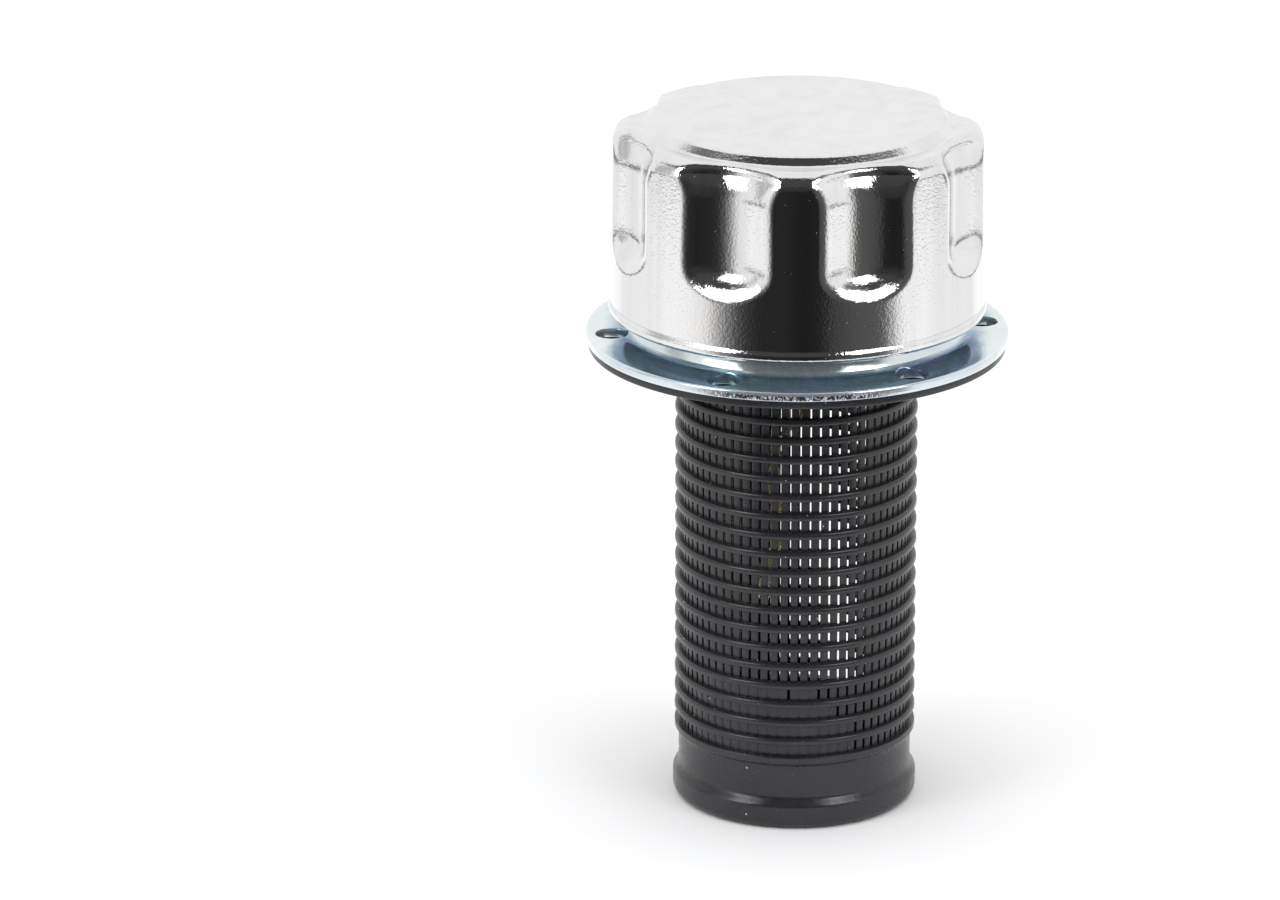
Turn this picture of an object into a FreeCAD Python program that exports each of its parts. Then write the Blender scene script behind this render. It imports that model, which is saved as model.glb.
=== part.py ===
import FreeCAD, Part
import math
import os
import Sketcher

# Filler strainer with a bayonet breather cap, for the top plate of an oil
# tank.  Millimetres.  The origin is the centre of the bolt circle on the
# underside of the basket's rim (the face that lies on the tank), +Z is up and
# the front is -Y.

V = FreeCAD.Vector
os.makedirs("parts", exist_ok=True)
doc = FreeCAD.newDocument("filler_strainer")

# ---------------------------------------------------------------- the sheet
sheet = doc.addObject("Spreadsheet::Sheet", "Params")

SIZES = [
    # basket
    ("rim_rad", 41.0, "basket rim, outer radius"),
    ("rim_top", 1.6, "basket rim, upper face"),
    ("bore_rad", 21.9, "basket bore"),
    ("neck_rad", 24.4, "plain neck under the rim"),
    ("ring_rad", 23.9, "outside of the rings"),
    ("bar_rad", 22.7, "outside of the upright bars between the rings"),
    ("ring_high", 1.4, "height of a ring"),
    ("ring_pitch", 3.889, "ring to ring"),
    ("ring_rows", 19, "rows of windows"),
    ("first_ledge", 7.9, "depth of the first ledge below the rim"),
    ("ring_chamfer", 0.22, "broken edge of a ring"),
    ("slot_wide", 0.52, "width of a window"),
    ("slot_inner", 1.2, "width of a slot at the bore"),
    ("slot_straight", 22.4, "radius where a slot stops widening"),
    ("slot_count", 72, "windows in a row"),
    ("slot_phase", 1.9, "angle of the first window from the front"),
    ("slot_reach", 22.95, "how far out the slots run"),
    ("lip_low", 79.0, "lower edge of the foot's top bead"),
    ("waist_top", 80.3, "start of the waist"),
    ("waist_rad", 23.1, "waist of the foot"),
    ("waist_low", 86.6, "end of the waist"),
    ("flare_low", 89.0, "end of the flare"),
    ("foot_rad", 24.2, "foot, outer radius"),
    ("foot_low", 93.1, "underside of the foot"),
    ("foot_round", 2.0, "rounding of the foot's lower edge"),
    ("floor_top", 91.0, "upper face of the basket's floor"),
    ("recess_rad", 19.6, "recess in the underside"),
    ("recess_up", 0.6, "depth of that recess"),
    # bolt circle
    ("bolt_circle", 36.5, "radius of the bolt circle"),
    ("bolt_hole", 3.2, "radius of a screw hole"),
    ("bolt_count", 6, "screw holes"),
    ("bolt_phase", -112.9, "angle of the first hole"),
    # flange
    ("plate_rad", 41.5, "flange plate, outer radius"),
    ("plate_thick", 1.8, "sheet of the flange"),
    ("collar_rad", 32.0, "collar, outer radius"),
    ("collar_top", 9.4, "upper face of the collar"),
    ("lip_rad", 18.5, "filler opening in the collar's top"),
    ("notch_rad", 22.8, "reach of the two bayonet notches"),
    ("notch_wide", 12.0, "width of a notch"),
    ("collar_fold", 1.8, "outside rounding of the collar's folds"),
    ("stop_rad", 1.4, "pressed stop under the lip"),
    ("stop_circle", 20.8, "circle of the stops"),
    ("stop_deep", 1.4, "height of a stop"),
    ("stop_lock", -80.0, "angle of the locking stop"),
    ("stop_open", 21.0, "angle of the opening stop"),
    # cap shell
    ("cap_low", 8.2, "lower edge of the cap"),
    ("cap_low_rad", 36.7, "cap radius at its lower edge"),
    ("cap_high_rad", 36.2, "cap radius at the shoulder"),
    ("cap_shoulder", 45.0, "shoulder of the cap"),
    ("cap_top", 46.7, "raised disc of the cap"),
    ("disc_rad", 28.5, "raised disc, radius"),
    ("disc_foot", 30.1, "foot of the disc's step"),
    ("cap_sheet", 0.9, "sheet of the cap"),
    ("hem_rad", 33.95, "inside of the rolled hem"),
    ("hem_top", 10.2, "top of the rolled hem"),
    ("corner_round", 3.2, "rounding of the shoulder"),
    ("flute_rad", 12.0, "radius of a grip flute"),
    ("flute_axis", 43.5, "distance of a flute's axis"),
    ("flute_phase", 22.5, "angle of the first flute"),
    ("flute_slope", 42.0, "slope of the ledge under a flute"),
    ("flute_crease", 23.7, "height of the ledge's inner crease"),
    ("trough_rad", 35.0, "curvature of that ledge across"),
    # plate that closes the cap from below
    ("cup_low", 12.4, "closing plate, lower face"),
    ("cup_sheet", 0.8, "closing plate, sheet"),
    ("cup_rad", 35.65, "closing plate, outer radius"),
    ("cup_skirt_low", 9.2, "lower edge of its skirt"),
    ("vent_circle", 32.4, "circle of the outer vents"),
    ("vent_rad", 1.2, "outer vent"),
    ("vent_count", 16, "outer vents"),
    ("port_circle", 14.2, "circle of the inner ports"),
    ("port_rad", 2.2, "inner port"),
    ("port_count", 6, "inner ports"),
    ("guide_in", 11.9, "guide slot, inner end"),
    ("guide_out", 13.45, "guide slot, outer end"),
    ("guide_wide", 6.5, "guide slot, width"),
    # air filter
    ("core_in", 17.2, "filter core, bore"),
    ("core_out", 17.8, "filter core, outside"),
    ("paper_in", 17.9, "filter paper, inside"),
    ("paper_out", 28.3, "filter paper, outside"),
    ("end_disc", 0.6, "sheet of the filter's end discs"),
    ("filter_top", 42.2, "top of the filter"),
    ("felt_top", 45.7, "top of the felt ring"),
    ("felt_out", 27.3, "felt ring, outside"),
    ("core_slots", 12, "slots in the core"),
    # bayonet lock
    ("gasket_in", 23.2, "cap gasket, inside"),
    ("gasket_out", 29.8, "cap gasket, outside"),
    ("gasket_low", 9.5, "cap gasket, lower face"),
    ("lock_low", 6.1, "locking plate, lower face"),
    ("lock_thick", 1.2, "locking plate, sheet"),
    ("lock_rad", 17.4, "locking plate, radius"),
    ("lug_rad", 22.2, "reach of a lug"),
    ("lug_wide", 10.6, "width of a lug"),
    ("tab_in", 12.1, "guide tab, inner face"),
    ("tab_out", 13.25, "guide tab, outer face"),
    ("tab_wide", 6.0, "guide tab, width"),
    ("tab_top", 15.0, "guide tab, upper end"),
    ("lock_port", 2.4, "port in the locking plate"),
    ("rivet_rad", 3.0, "rivet shank"),
    ("run_gap", 0.08, "running clearance on a radius"),
    ("rivet_head", 5.4, "rivet's upper head"),
    ("rivet_tail", 5.0, "rivet's formed head"),
    ("sleeve_rad", 4.8, "spacer sleeve, outside"),
    ("spring_mean", 6.6, "spring, mean radius"),
    ("spring_wire", 0.6, "spring wire, radius"),
    ("spring_pitch", 1.7, "spring pitch"),
    ("washer_top", -3.2, "spring washer, upper face"),
    ("washer_thick", 1.0, "spring washer"),
    ("washer_rad", 8.6, "spring washer, outside"),
    ("bush_rad", 4.0, "swivel bush, outside"),
    ("bush_high", 1.4, "swivel bush, height"),
    ("swivel_rad", 7.3, "swivel disc, outside"),
    ("bail_wire", 0.6, "bail wire, radius"),
    ("bail_half", 6.2, "half the bail's width"),
    ("bail_turn", -6.9, "height where the bail's arc starts"),
    # chain
    ("link_wire", 0.45, "chain wire, radius"),
    ("link_half", 2.25, "link centre line, half length"),
    ("link_side", 1.25, "link centre line, half width"),
    ("link_step", 3.55, "chain pitch"),
    ("bar_wire", 1.2, "retaining bar, radius"),
    ("bar_half", 20.3, "retaining bar, half length"),
    ("bar_tilt", 26.0, "tilt of the retaining bar"),
    ("eye_rad", 1.6, "eye on the bar, radius"),
    ("eye_wire", 0.5, "eye wire, radius"),
]

for row, (alias, value, note) in enumerate(SIZES, start=1):
    sheet.set("A%d" % row, note)
    sheet.set("B%d" % row, "%g" % value)
    sheet.setAlias("B%d" % row, alias)
doc.recompute()


class Size:
    """A number together with the sheet expression that gives it."""

    def __init__(self, value, text):
        self.value = float(value)
        self.text = text

    @staticmethod
    def of(other):
        if isinstance(other, Size):
            return other
        return Size(other, "(%.9g)" % other)

    def _join(self, other, sign, value, flip=False):
        a, b = (other, self) if flip else (self, other)
        return Size(value, "(%s %s %s)" % (a.text, sign, b.text))

    def __add__(self, other):
        other = Size.of(other)
        return self._join(other, "+", self.value + other.value)

    def __radd__(self, other):
        return Size.of(other) + self

    def __sub__(self, other):
        other = Size.of(other)
        return self._join(other, "-", self.value - other.value)

    def __rsub__(self, other):
        return Size.of(other) - self

    def __mul__(self, other):
        other = Size.of(other)
        return self._join(other, "*", self.value * other.value)

    def __rmul__(self, other):
        return Size.of(other) * self

    def __truediv__(self, other):
        other = Size.of(other)
        return self._join(other, "/", self.value / other.value)

    def __neg__(self):
        return Size(-self.value, "(0 - %s)" % self.text)


S = {alias: Size(value, "Params." + alias) for alias, value, _ in SIZES}


def sine(angle):
    angle = Size.of(angle)
    return Size(math.sin(math.radians(angle.value)), "sin(%s * 1deg)" % angle.text)


def cosine(angle):
    angle = Size.of(angle)
    return Size(math.cos(math.radians(angle.value)), "cos(%s * 1deg)" % angle.text)


def bind(obj, prop, size, unit=""):
    size = Size.of(size)
    text = size.text if not unit else "%s * 1%s" % (size.text, unit)
    obj.setExpression(prop, text)


# ------------------------------------------------------------ sketch helpers
def new_body(label):
    body = doc.addObject("PartDesign::Body", label)
    body.Label = label
    return body


def origin_item(body, role):
    return [f for f in body.Origin.OriginFeatures if f.Role == role][0]


def new_sketch(body, role, name, lift=None, turn=None):
    sk = body.newObject("Sketcher::SketchObject", name)
    sk.AttachmentSupport = [(origin_item(body, role), "")]
    sk.MapMode = "FlatFace"
    base = V(0, 0, 0)
    rot = FreeCAD.Rotation(V(0, 0, 1), 0)
    if lift is not None:
        base = V(0, 0, Size.of(lift).value)
    if turn is not None:
        rot = FreeCAD.Rotation(V(0, 0, 1), Size.of(turn).value)
    sk.AttachmentOffset = FreeCAD.Placement(base, rot)
    if lift is not None:
        bind(sk, "AttachmentOffset.Base.z", lift)
    if turn is not None:
        bind(sk, "AttachmentOffset.Rotation.Angle", turn)
    return sk


def pin_point(sk, geo, pos, x, y):
    x, y = Size.of(x), Size.of(y)
    if abs(x.value) < 1e-9:
        sk.addConstraint(Sketcher.Constraint("PointOnObject", geo, pos, -2))
    else:
        i = sk.addConstraint(Sketcher.Constraint("DistanceX", -1, 1, geo, pos, x.value))
        bind(sk, "Constraints[%d]" % i, x)
    if abs(y.value) < 1e-9:
        sk.addConstraint(Sketcher.Constraint("PointOnObject", geo, pos, -1))
    else:
        i = sk.addConstraint(Sketcher.Constraint("DistanceY", -1, 1, geo, pos, y.value))
        bind(sk, "Constraints[%d]" % i, y)


def outline(sk, points):
    """A closed run of straight edges through the given points."""
    pts = [(Size.of(x), Size.of(y)) for x, y in points]
    n = len(pts)
    first = len(sk.Geometry)
    for i in range(n):
        a, b = pts[i], pts[(i + 1) % n]
        sk.addGeometry(Part.LineSegment(V(a[0].value, a[1].value, 0),
                                        V(b[0].value, b[1].value, 0)), False)
    for i in range(n):
        sk.addConstraint(Sketcher.Constraint("Coincident", first + i, 2,
                                             first + (i + 1) % n, 1))
    for i in range(n):
        pin_point(sk, first + i, 1, pts[i][0], pts[i][1])


def round_line(sk, x, y, rad):
    x, y, rad = Size.of(x), Size.of(y), Size.of(rad)
    g = sk.addGeometry(Part.Circle(V(x.value, y.value, 0), V(0, 0, 1), rad.value), False)
    if abs(x.value) < 1e-9 and abs(y.value) < 1e-9:
        sk.addConstraint(Sketcher.Constraint("Coincident", g, 3, -1, 1))
    else:
        pin_point(sk, g, 3, x, y)
    i = sk.addConstraint(Sketcher.Constraint("Radius", g, rad.value))
    bind(sk, "Constraints[%d]" % i, rad)
    return g


def box_line(sk, x0, x1, y0, y1):
    outline(sk, [(x0, y0), (x1, y0), (x1, y1), (x0, y1)])


def revolve(body, name, points):
    sk = new_sketch(body, "XZ_Plane", name + "_line")
    outline(sk, points)
    f = body.newObject("PartDesign::Revolution", name)
    f.Profile = sk
    f.ReferenceAxis = (sk, ["V_Axis"])
    f.Angle = 360
    doc.recompute()
    return f


def pocket(body, name, sk, depth=None, through=False):
    before = body.Shape.Volume
    f = body.newObject("PartDesign::Pocket", name)
    f.Profile = sk
    if through:
        f.Type = "ThroughAll"
    else:
        f.Type = "Length"
        f.Length = Size.of(depth).value
        bind(f, "Length", depth)
    doc.recompute()
    if body.Shape.Volume > before - 1e-6:
        raise RuntimeError("nothing was cut by " + name)
    return f


def polar(body, name, feature, count):
    f = body.newObject("PartDesign::PolarPattern", name)
    f.Originals = [feature]
    f.Axis = (origin_item(body, "Z_Axis"), [""])
    f.Angle = 360
    f.Occurrences = int(Size.of(count).value)
    bind(f, "Occurrences", count)
    body.Tip = f
    doc.recompute()
    return f


def ring_edges(shape, rad, z, tol=0.02):
    names = []
    for i, e in enumerate(shape.Edges, start=1):
        c = e.Curve
        if hasattr(c, "Radius") and hasattr(c, "Center"):
            if abs(c.Radius - rad) < tol and abs(c.Center.z - z) < tol \
                    and abs(c.Center.x) < tol and abs(c.Center.y) < tol:
                names.append("Edge%d" % i)
    return names


def fillet(body, name, places, rad):
    base = body.Tip
    names = []
    for r, z in places:
        found = ring_edges(base.Shape, Size.of(r).value, Size.of(z).value)
        if not found:
            raise RuntimeError("no edge for %s at %g, %g" % (name, Size.of(r).value,
                                                             Size.of(z).value))
        names += found
    f = body.newObject("PartDesign::Fillet", name)
    f.Base = (base, names)
    f.Radius = Size.of(rad).value
    bind(f, "Radius", rad)
    body.Tip = f
    doc.recompute()
    return f


def disc_ring(label, r_in, r_out, z_low, z_high, soft=None):
    """A flat ring turned from one profile."""
    body = new_body(label)
    revolve(body, label + "_ring", [(r_in, z_low), (r_out, z_low),
                                    (r_out, z_high), (r_in, z_high)])
    if soft is not None:
        fillet(body, label + "_soft", [(r_out, z_low), (r_out, z_high)], soft)
    return body


# ------------------------------------------------------------------- basket
basket = new_body("strainer_basket")
revolve(basket, "basket_turned", [
    (S["bore_rad"], S["rim_top"]),
    (S["rim_rad"], S["rim_top"]),
    (S["rim_rad"], 0),
    (S["neck_rad"], 0),
    (S["neck_rad"], -(S["first_ledge"] - S["ring_pitch"] + S["ring_high"])),
    (S["ring_rad"], -(S["first_ledge"] - S["ring_pitch"] + S["ring_high"])),
    (S["ring_rad"], -S["lip_low"]),
    (S["waist_rad"], -S["waist_top"]),
    (S["waist_rad"], -S["waist_low"]),
    (S["foot_rad"], -S["flare_low"]),
    (S["foot_rad"], -S["foot_low"]),
    (S["recess_rad"], -S["foot_low"]),
    (S["recess_rad"] - S["recess_up"], S["recess_up"] - S["foot_low"]),
    (0, S["recess_up"] - S["foot_low"]),
    (0, -S["floor_top"]),
    (S["bore_rad"], -S["floor_top"]),
])
fillet(basket, "foot_soft", [(S["foot_rad"], -S["foot_low"])], S["foot_round"])
fillet(basket, "rim_soft", [(S["rim_rad"], 0)], Size.of(0.35))

# the recess between two rings, repeated down the basket
groove_top = -(S["first_ledge"] - S["ring_pitch"] + S["ring_high"])
sk = new_sketch(basket, "XZ_Plane", "recess_line")
outline(sk, [
    (S["bar_rad"], groove_top),
    (S["ring_rad"] - S["ring_chamfer"], groove_top),
    (S["ring_rad"] + 0.9, groove_top + S["ring_chamfer"] + 0.9),
    (S["ring_rad"] + 0.9, -S["first_ledge"] - S["ring_chamfer"] - 0.9),
    (S["ring_rad"] - S["ring_chamfer"], -S["first_ledge"]),
    (S["bar_rad"], -S["first_ledge"]),
])
groove = basket.newObject("PartDesign::Groove", "recess")
groove.Profile = sk
groove.ReferenceAxis = (sk, ["V_Axis"])
groove.Angle = 360
doc.recompute()
rows = basket.newObject("PartDesign::LinearPattern", "recess_rows")
rows.Originals = [groove]
rows.Direction = (origin_item(basket, "Z_Axis"), [""])
rows.Reversed = True
rows.Length = 18 * 3.889
bind(rows, "Length", S["ring_pitch"] * (S["ring_rows"] - 1))
rows.Occurrences = 19
bind(rows, "Occurrences", S["ring_rows"])
basket.Tip = rows
doc.recompute()

# screw holes through the rim
sk = new_sketch(basket, "XY_Plane", "rim_hole_line", lift=S["rim_top"], turn=S["bolt_phase"])
round_line(sk, S["bolt_circle"], 0, S["bolt_hole"])
hole = pocket(basket, "rim_hole", sk, depth=S["rim_top"])
polar(basket, "rim_holes", hole, S["bolt_count"])

# upright slots from the bore outwards, wider at the bore: where one crosses
# a recess between two rings it opens as a window
slot_start = groove_top + 0.35
slot_end = -(S["first_ledge"] + S["ring_pitch"] * (S["ring_rows"] - 1)) - 0.35
sk = new_sketch(basket, "XY_Plane", "slot_line", lift=slot_start, turn=S["slot_phase"])
outline(sk, [
    (S["bore_rad"] - 1.0, -S["slot_inner"] / 2),
    (S["bore_rad"], -S["slot_inner"] / 2),
    (S["slot_straight"], -S["slot_wide"] / 2),
    (S["slot_reach"], -S["slot_wide"] / 2),
    (S["slot_reach"], S["slot_wide"] / 2),
    (S["slot_straight"], S["slot_wide"] / 2),
    (S["bore_rad"], S["slot_inner"] / 2),
    (S["bore_rad"] - 1.0, S["slot_inner"] / 2),
])
slot = pocket(basket, "slot", sk, depth=slot_start - slot_end)
polar(basket, "slots", slot, S["slot_count"])

# ------------------------------------------------------------------- flange
flange = new_body("bayonet_flange")
plate_top = S["rim_top"] + S["plate_thick"]
lip_under = S["collar_top"] - S["plate_thick"]
collar_in = S["collar_rad"] - S["plate_thick"]
revolve(flange, "flange_pressed", [
    (S["plate_rad"], S["rim_top"]),
    (S["plate_rad"], plate_top),
    (S["collar_rad"], plate_top),
    (S["collar_rad"], S["collar_top"]),
    (S["lip_rad"], S["collar_top"]),
    (S["lip_rad"], lip_under),
    (collar_in, lip_under),
    (collar_in, S["rim_top"]),
])
fillet(flange, "fold_low", [(S["collar_rad"], plate_top)], S["collar_fold"])
fillet(flange, "fold_high", [(S["collar_rad"], S["collar_top"])], S["collar_fold"])
fillet(flange, "fold_under", [(collar_in, S["rim_top"])], Size.of(1.2))
fillet(flange, "fold_inside", [(collar_in, lip_under)], Size.of(0.5))
fillet(flange, "plate_edge", [(S["plate_rad"], plate_top)], Size.of(0.35))

sk = new_sketch(flange, "XY_Plane", "notch_line", lift=S["collar_top"])
box_line(sk, S["lip_rad"] - 2.0, S["notch_rad"], -S["notch_wide"] / 2, S["notch_wide"] / 2)
notch = pocket(flange, "notch", sk, depth=S["plate_thick"])
polar(flange, "notches", notch, 2)

sk = new_sketch(flange, "XY_Plane", "plate_hole_line", lift=plate_top, turn=S["bolt_phase"])
round_line(sk, S["bolt_circle"], 0, S["bolt_hole"])
hole = pocket(flange, "plate_hole", sk, depth=S["plate_thick"])
polar(flange, "plate_holes", hole, S["bolt_count"])

for tag in ("lock", "open"):
    sk = new_sketch(flange, "XY_Plane", "stop_%s_line" % tag,
                    lift=lip_under - S["stop_deep"], turn=S["stop_" + tag])
    round_line(sk, S["stop_circle"], 0, S["stop_rad"])
    pad = flange.newObject("PartDesign::Pad", "stop_" + tag + "_pad")
    pad.Profile = sk
    pad.Length = 1.9
    bind(pad, "Length", S["stop_deep"] + 0.5)
    doc.recompute()
    polar(flange, "stops_" + tag, pad, 2)


# ---------------------------------------------------------------- cap shell
def flute_cutters(prefix, grow):
    """Eight grip flutes: an upright round channel that ends below on a
    sloped, slightly hollow ledge."""
    parts = []
    slope = S["flute_slope"]
    for k in range(8):
        turn = k * 45.0 + 22.5
        channel = doc.addObject("Part::Cylinder", "%s_channel_%d" % (prefix, k))
        channel.Radius = S["flute_rad"].value + grow.value
        bind(channel, "Radius", S["flute_rad"] + grow)
        channel.Height = 60
        around = S["flute_phase"] + k * 45.0
        channel.Placement = FreeCAD.Placement(
            V(S["flute_axis"].value * math.cos(math.radians(turn)),
              S["flute_axis"].value * math.sin(math.radians(turn)), 2.0),
            FreeCAD.Rotation(V(0, 0, 1), 0))
        bind(channel, "Placement.Base.x", S["flute_axis"] * cosine(around))
        bind(channel, "Placement.Base.y", S["flute_axis"] * sine(around))
        # the ledge: a wide cylinder lying along the slope
        trough = doc.addObject("Part::Cylinder", "%s_trough_%d" % (prefix, k))
        trough.Radius = S["trough_rad"].value + grow.value
        bind(trough, "Radius", S["trough_rad"] + grow)
        trough.Height = 120
        a = math.radians(slope.value)
        out = S["flute_axis"].value - S["flute_rad"].value
        cx = out + S["trough_rad"].value * math.sin(a)
        cz = S["flute_crease"].value + S["trough_rad"].value * math.cos(a)
        d = V(math.cos(a), 0, -math.sin(a))
        rot = FreeCAD.Rotation(V(0, 0, 1), turn).multiply(FreeCAD.Rotation(V(0, 0, 1), d))
        start = FreeCAD.Rotation(V(0, 0, 1), turn).multVec(V(cx, 0, cz) - d * 60.0)
        trough.Placement = FreeCAD.Placement(start, rot)
        common = doc.addObject("Part::Common", "%s_flute_%d" % (prefix, k))
        common.Base = channel
        common.Tool = trough
        parts.append(common)
    joined = doc.addObject("Part::Compound", prefix + "_flutes")
    joined.Links = parts
    doc.recompute()
    return joined


cap_skin = new_body("cap_outside")
revolve(cap_skin, "cap_outside_turned", [
    (0, S["cap_low"]),
    (S["cap_low_rad"], S["cap_low"]),
    (S["cap_high_rad"], S["cap_shoulder"]),
    (S["disc_foot"], S["cap_shoulder"]),
    (S["disc_rad"], S["cap_top"]),
    (0, S["cap_top"]),
])
fillet(cap_skin, "shoulder_soft", [(S["cap_high_rad"], S["cap_shoulder"])], S["corner_round"])
fillet(cap_skin, "disc_foot_soft", [(S["disc_foot"], S["cap_shoulder"])], Size.of(1.2))
fillet(cap_skin, "disc_soft", [(S["disc_rad"], S["cap_top"])], Size.of(1.0))
fillet(cap_skin, "hem_soft", [(S["cap_low_rad"], S["cap_low"])], Size.of(0.85))

cap_core = new_body("cap_inside")
wall = S["cap_sheet"]
revolve(cap_core, "cap_inside_turned", [
    (0, S["cap_low"] - 1.0),
    (S["hem_rad"], S["cap_low"] - 1.0),
    (S["hem_rad"], S["hem_top"]),
    (S["hem_rad"] + wall, S["hem_top"]),
    (S["hem_rad"] + wall, S["cap_low"] + wall),
    (S["cap_low_rad"] - wall, S["cap_low"] + wall),
    (S["cap_high_rad"] - wall, S["cap_shoulder"] - wall),
    (S["disc_foot"] - wall * 0.4, S["cap_shoulder"] - wall),
    (S["disc_rad"] - wall * 0.8, S["cap_top"] - wall),
    (0, S["cap_top"] - wall),
])
fillet(cap_core, "shoulder_inside", [(S["cap_high_rad"] - wall, S["cap_shoulder"] - wall)],
       S["corner_round"] - S["cap_sheet"])

outer_cut = doc.addObject("Part::Cut", "cap_outside_fluted")
outer_cut.Base = cap_skin
outer_cut.Tool = flute_cutters("outer", Size.of(0.0))
inner_cut = doc.addObject("Part::Cut", "cap_inside_fluted")
inner_cut.Base = cap_core
inner_cut.Tool = flute_cutters("inner", S["cap_sheet"])
cap_shell = doc.addObject("Part::Cut", "cap_shell")
cap_shell.Label = "cap_shell"
cap_shell.Base = outer_cut
cap_shell.Tool = inner_cut
doc.recompute()

# -------------------------------------------------- plate that closes the cap
cup = new_body("closing_plate")
cup_top = S["cup_low"] + S["cup_sheet"]
revolve(cup, "closing_pressed", [
    (S["rivet_rad"] + 0.05, S["cup_low"]),
    (S["cup_rad"] - S["cup_sheet"], S["cup_low"]),
    (S["cup_rad"] - S["cup_sheet"], S["cup_skirt_low"]),
    (S["cup_rad"], S["cup_skirt_low"]),
    (S["cup_rad"], cup_top),
    (S["rivet_rad"] + 0.05, cup_top),
])
fillet(cup, "closing_fold", [(S["cup_rad"], cup_top)], Size.of(1.2))
sk = new_sketch(cup, "XY_Plane", "vent_line", lift=cup_top)
round_line(sk, S["vent_circle"], 0, S["vent_rad"])
vent = pocket(cup, "vent", sk, depth=S["cup_sheet"])
polar(cup, "vents", vent, S["vent_count"])
sk = new_sketch(cup, "XY_Plane", "port_line", lift=cup_top)
round_line(sk, S["port_circle"], 0, S["port_rad"])
port = pocket(cup, "port", sk, depth=S["cup_sheet"])
polar(cup, "ports", port, S["port_count"])
sk = new_sketch(cup, "XY_Plane", "guide_line", lift=cup_top)
box_line(sk, -S["guide_wide"] / 2, S["guide_wide"] / 2, S["guide_in"], S["guide_out"])
guide = pocket(cup, "guide", sk, depth=S["cup_sheet"])
polar(cup, "guides", guide, 2)

# --------------------------------------------------------------- air filter
lower_disc = disc_ring("filter_lower_disc", S["core_in"], S["paper_out"] + 0.2, cup_top,
                       cup_top + S["end_disc"])
upper_disc = disc_ring("filter_upper_disc", S["core_in"], S["paper_out"] + 0.2,
                       S["filter_top"] - S["end_disc"], S["filter_top"])
paper = disc_ring("filter_paper", S["paper_in"], S["paper_out"], cup_top + S["end_disc"],
                  S["filter_top"] - S["end_disc"])
felt = disc_ring("felt_ring", S["core_in"], S["felt_out"], S["filter_top"], S["felt_top"])

core = new_body("filter_core")
revolve(core, "core_tube", [
    (S["core_in"], cup_top + S["end_disc"]),
    (S["core_out"], cup_top + S["end_disc"]),
    (S["core_out"], S["filter_top"] - S["end_disc"]),
    (S["core_in"], S["filter_top"] - S["end_disc"]),
])
sk = new_sketch(core, "XY_Plane", "core_slot_line", lift=S["filter_top"] - 5.0)
box_line(sk, S["core_in"] - 1.0, S["core_out"] + 1.0, Size.of(-2.2), Size.of(2.2))
cslot = pocket(core, "core_slot", sk, depth=S["filter_top"] - cup_top - 10.0)
polar(core, "core_slot_row", cslot, S["core_slots"])

# -------------------------------------------------------------- lock parts
gasket = disc_ring("cap_gasket", S["gasket_in"], S["gasket_out"], S["gasket_low"],
                   S["cup_low"])

lock = new_body("locking_plate")
lock_top = S["lock_low"] + S["lock_thick"]
revolve(lock, "lock_disc", [
    (S["rivet_rad"] + S["run_gap"], S["lock_low"]),
    (S["lock_rad"], S["lock_low"]),
    (S["lock_rad"], lock_top),
    (S["rivet_rad"] + S["run_gap"], lock_top),
])
sk = new_sketch(lock, "XY_Plane", "lug_line", lift=S["lock_low"])
box_line(sk, S["lock_rad"] - 3.0, S["lug_rad"], -S["lug_wide"] / 2, S["lug_wide"] / 2)
pad = lock.newObject("PartDesign::Pad", "lug")
pad.Profile = sk
pad.Length = 1.2
bind(pad, "Length", S["lock_thick"])
doc.recompute()
polar(lock, "lugs", pad, 2)
sk = new_sketch(lock, "XY_Plane", "tab_line", lift=S["lock_low"])
box_line(sk, -S["tab_wide"] / 2, S["tab_wide"] / 2, S["tab_in"], S["tab_out"])
pad = lock.newObject("PartDesign::Pad", "tab")
pad.Profile = sk
pad.Length = 8.9
bind(pad, "Length", S["tab_top"] - S["lock_low"])
doc.recompute()
polar(lock, "tabs", pad, 2)
sk = new_sketch(lock, "XY_Plane", "lock_port_line", lift=lock_top, turn=Size.of(45.0))
round_line(sk, S["tab_in"], 0, S["lock_port"])
lport = pocket(lock, "lock_port", sk, depth=S["lock_thick"])
polar(lock, "lock_ports", lport, 4)

sleeve = disc_ring("spacer_sleeve", S["rivet_rad"] + 0.05, S["sleeve_rad"], lock_top + 0.05,
                   S["cup_low"])
rivet_washer = disc_ring("rivet_washer", S["rivet_rad"] + 0.05, Size.of(8.0), cup_top,
                         cup_top + 0.8)
spring_washer = disc_ring("spring_washer", S["rivet_rad"] + 0.05, S["washer_rad"],
                          S["washer_top"] - S["washer_thick"], S["washer_top"],
                          soft=Size.of(0.25))
bush_top = S["washer_top"] - S["washer_thick"]
bush_low = bush_top - S["bush_high"]
bush = disc_ring("swivel_bush", S["rivet_rad"] + 0.05, S["bush_rad"], bush_low, bush_top)

rivet = new_body("centre_rivet")
revolve(rivet, "rivet_turned", [
    (0, bush_low - 1.4),
    (S["rivet_tail"] - 1.0, bush_low - 1.4),
    (S["rivet_tail"], bush_low - 0.7),
    (S["rivet_tail"], bush_low),
    (S["rivet_rad"], bush_low),
    (S["rivet_rad"], cup_top + 0.8),
    (S["rivet_head"], cup_top + 0.8),
    (S["rivet_head"], cup_top + 1.5),
    (S["rivet_head"] - 1.9, cup_top + 2.9),
    (0, cup_top + 2.9),
])

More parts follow.
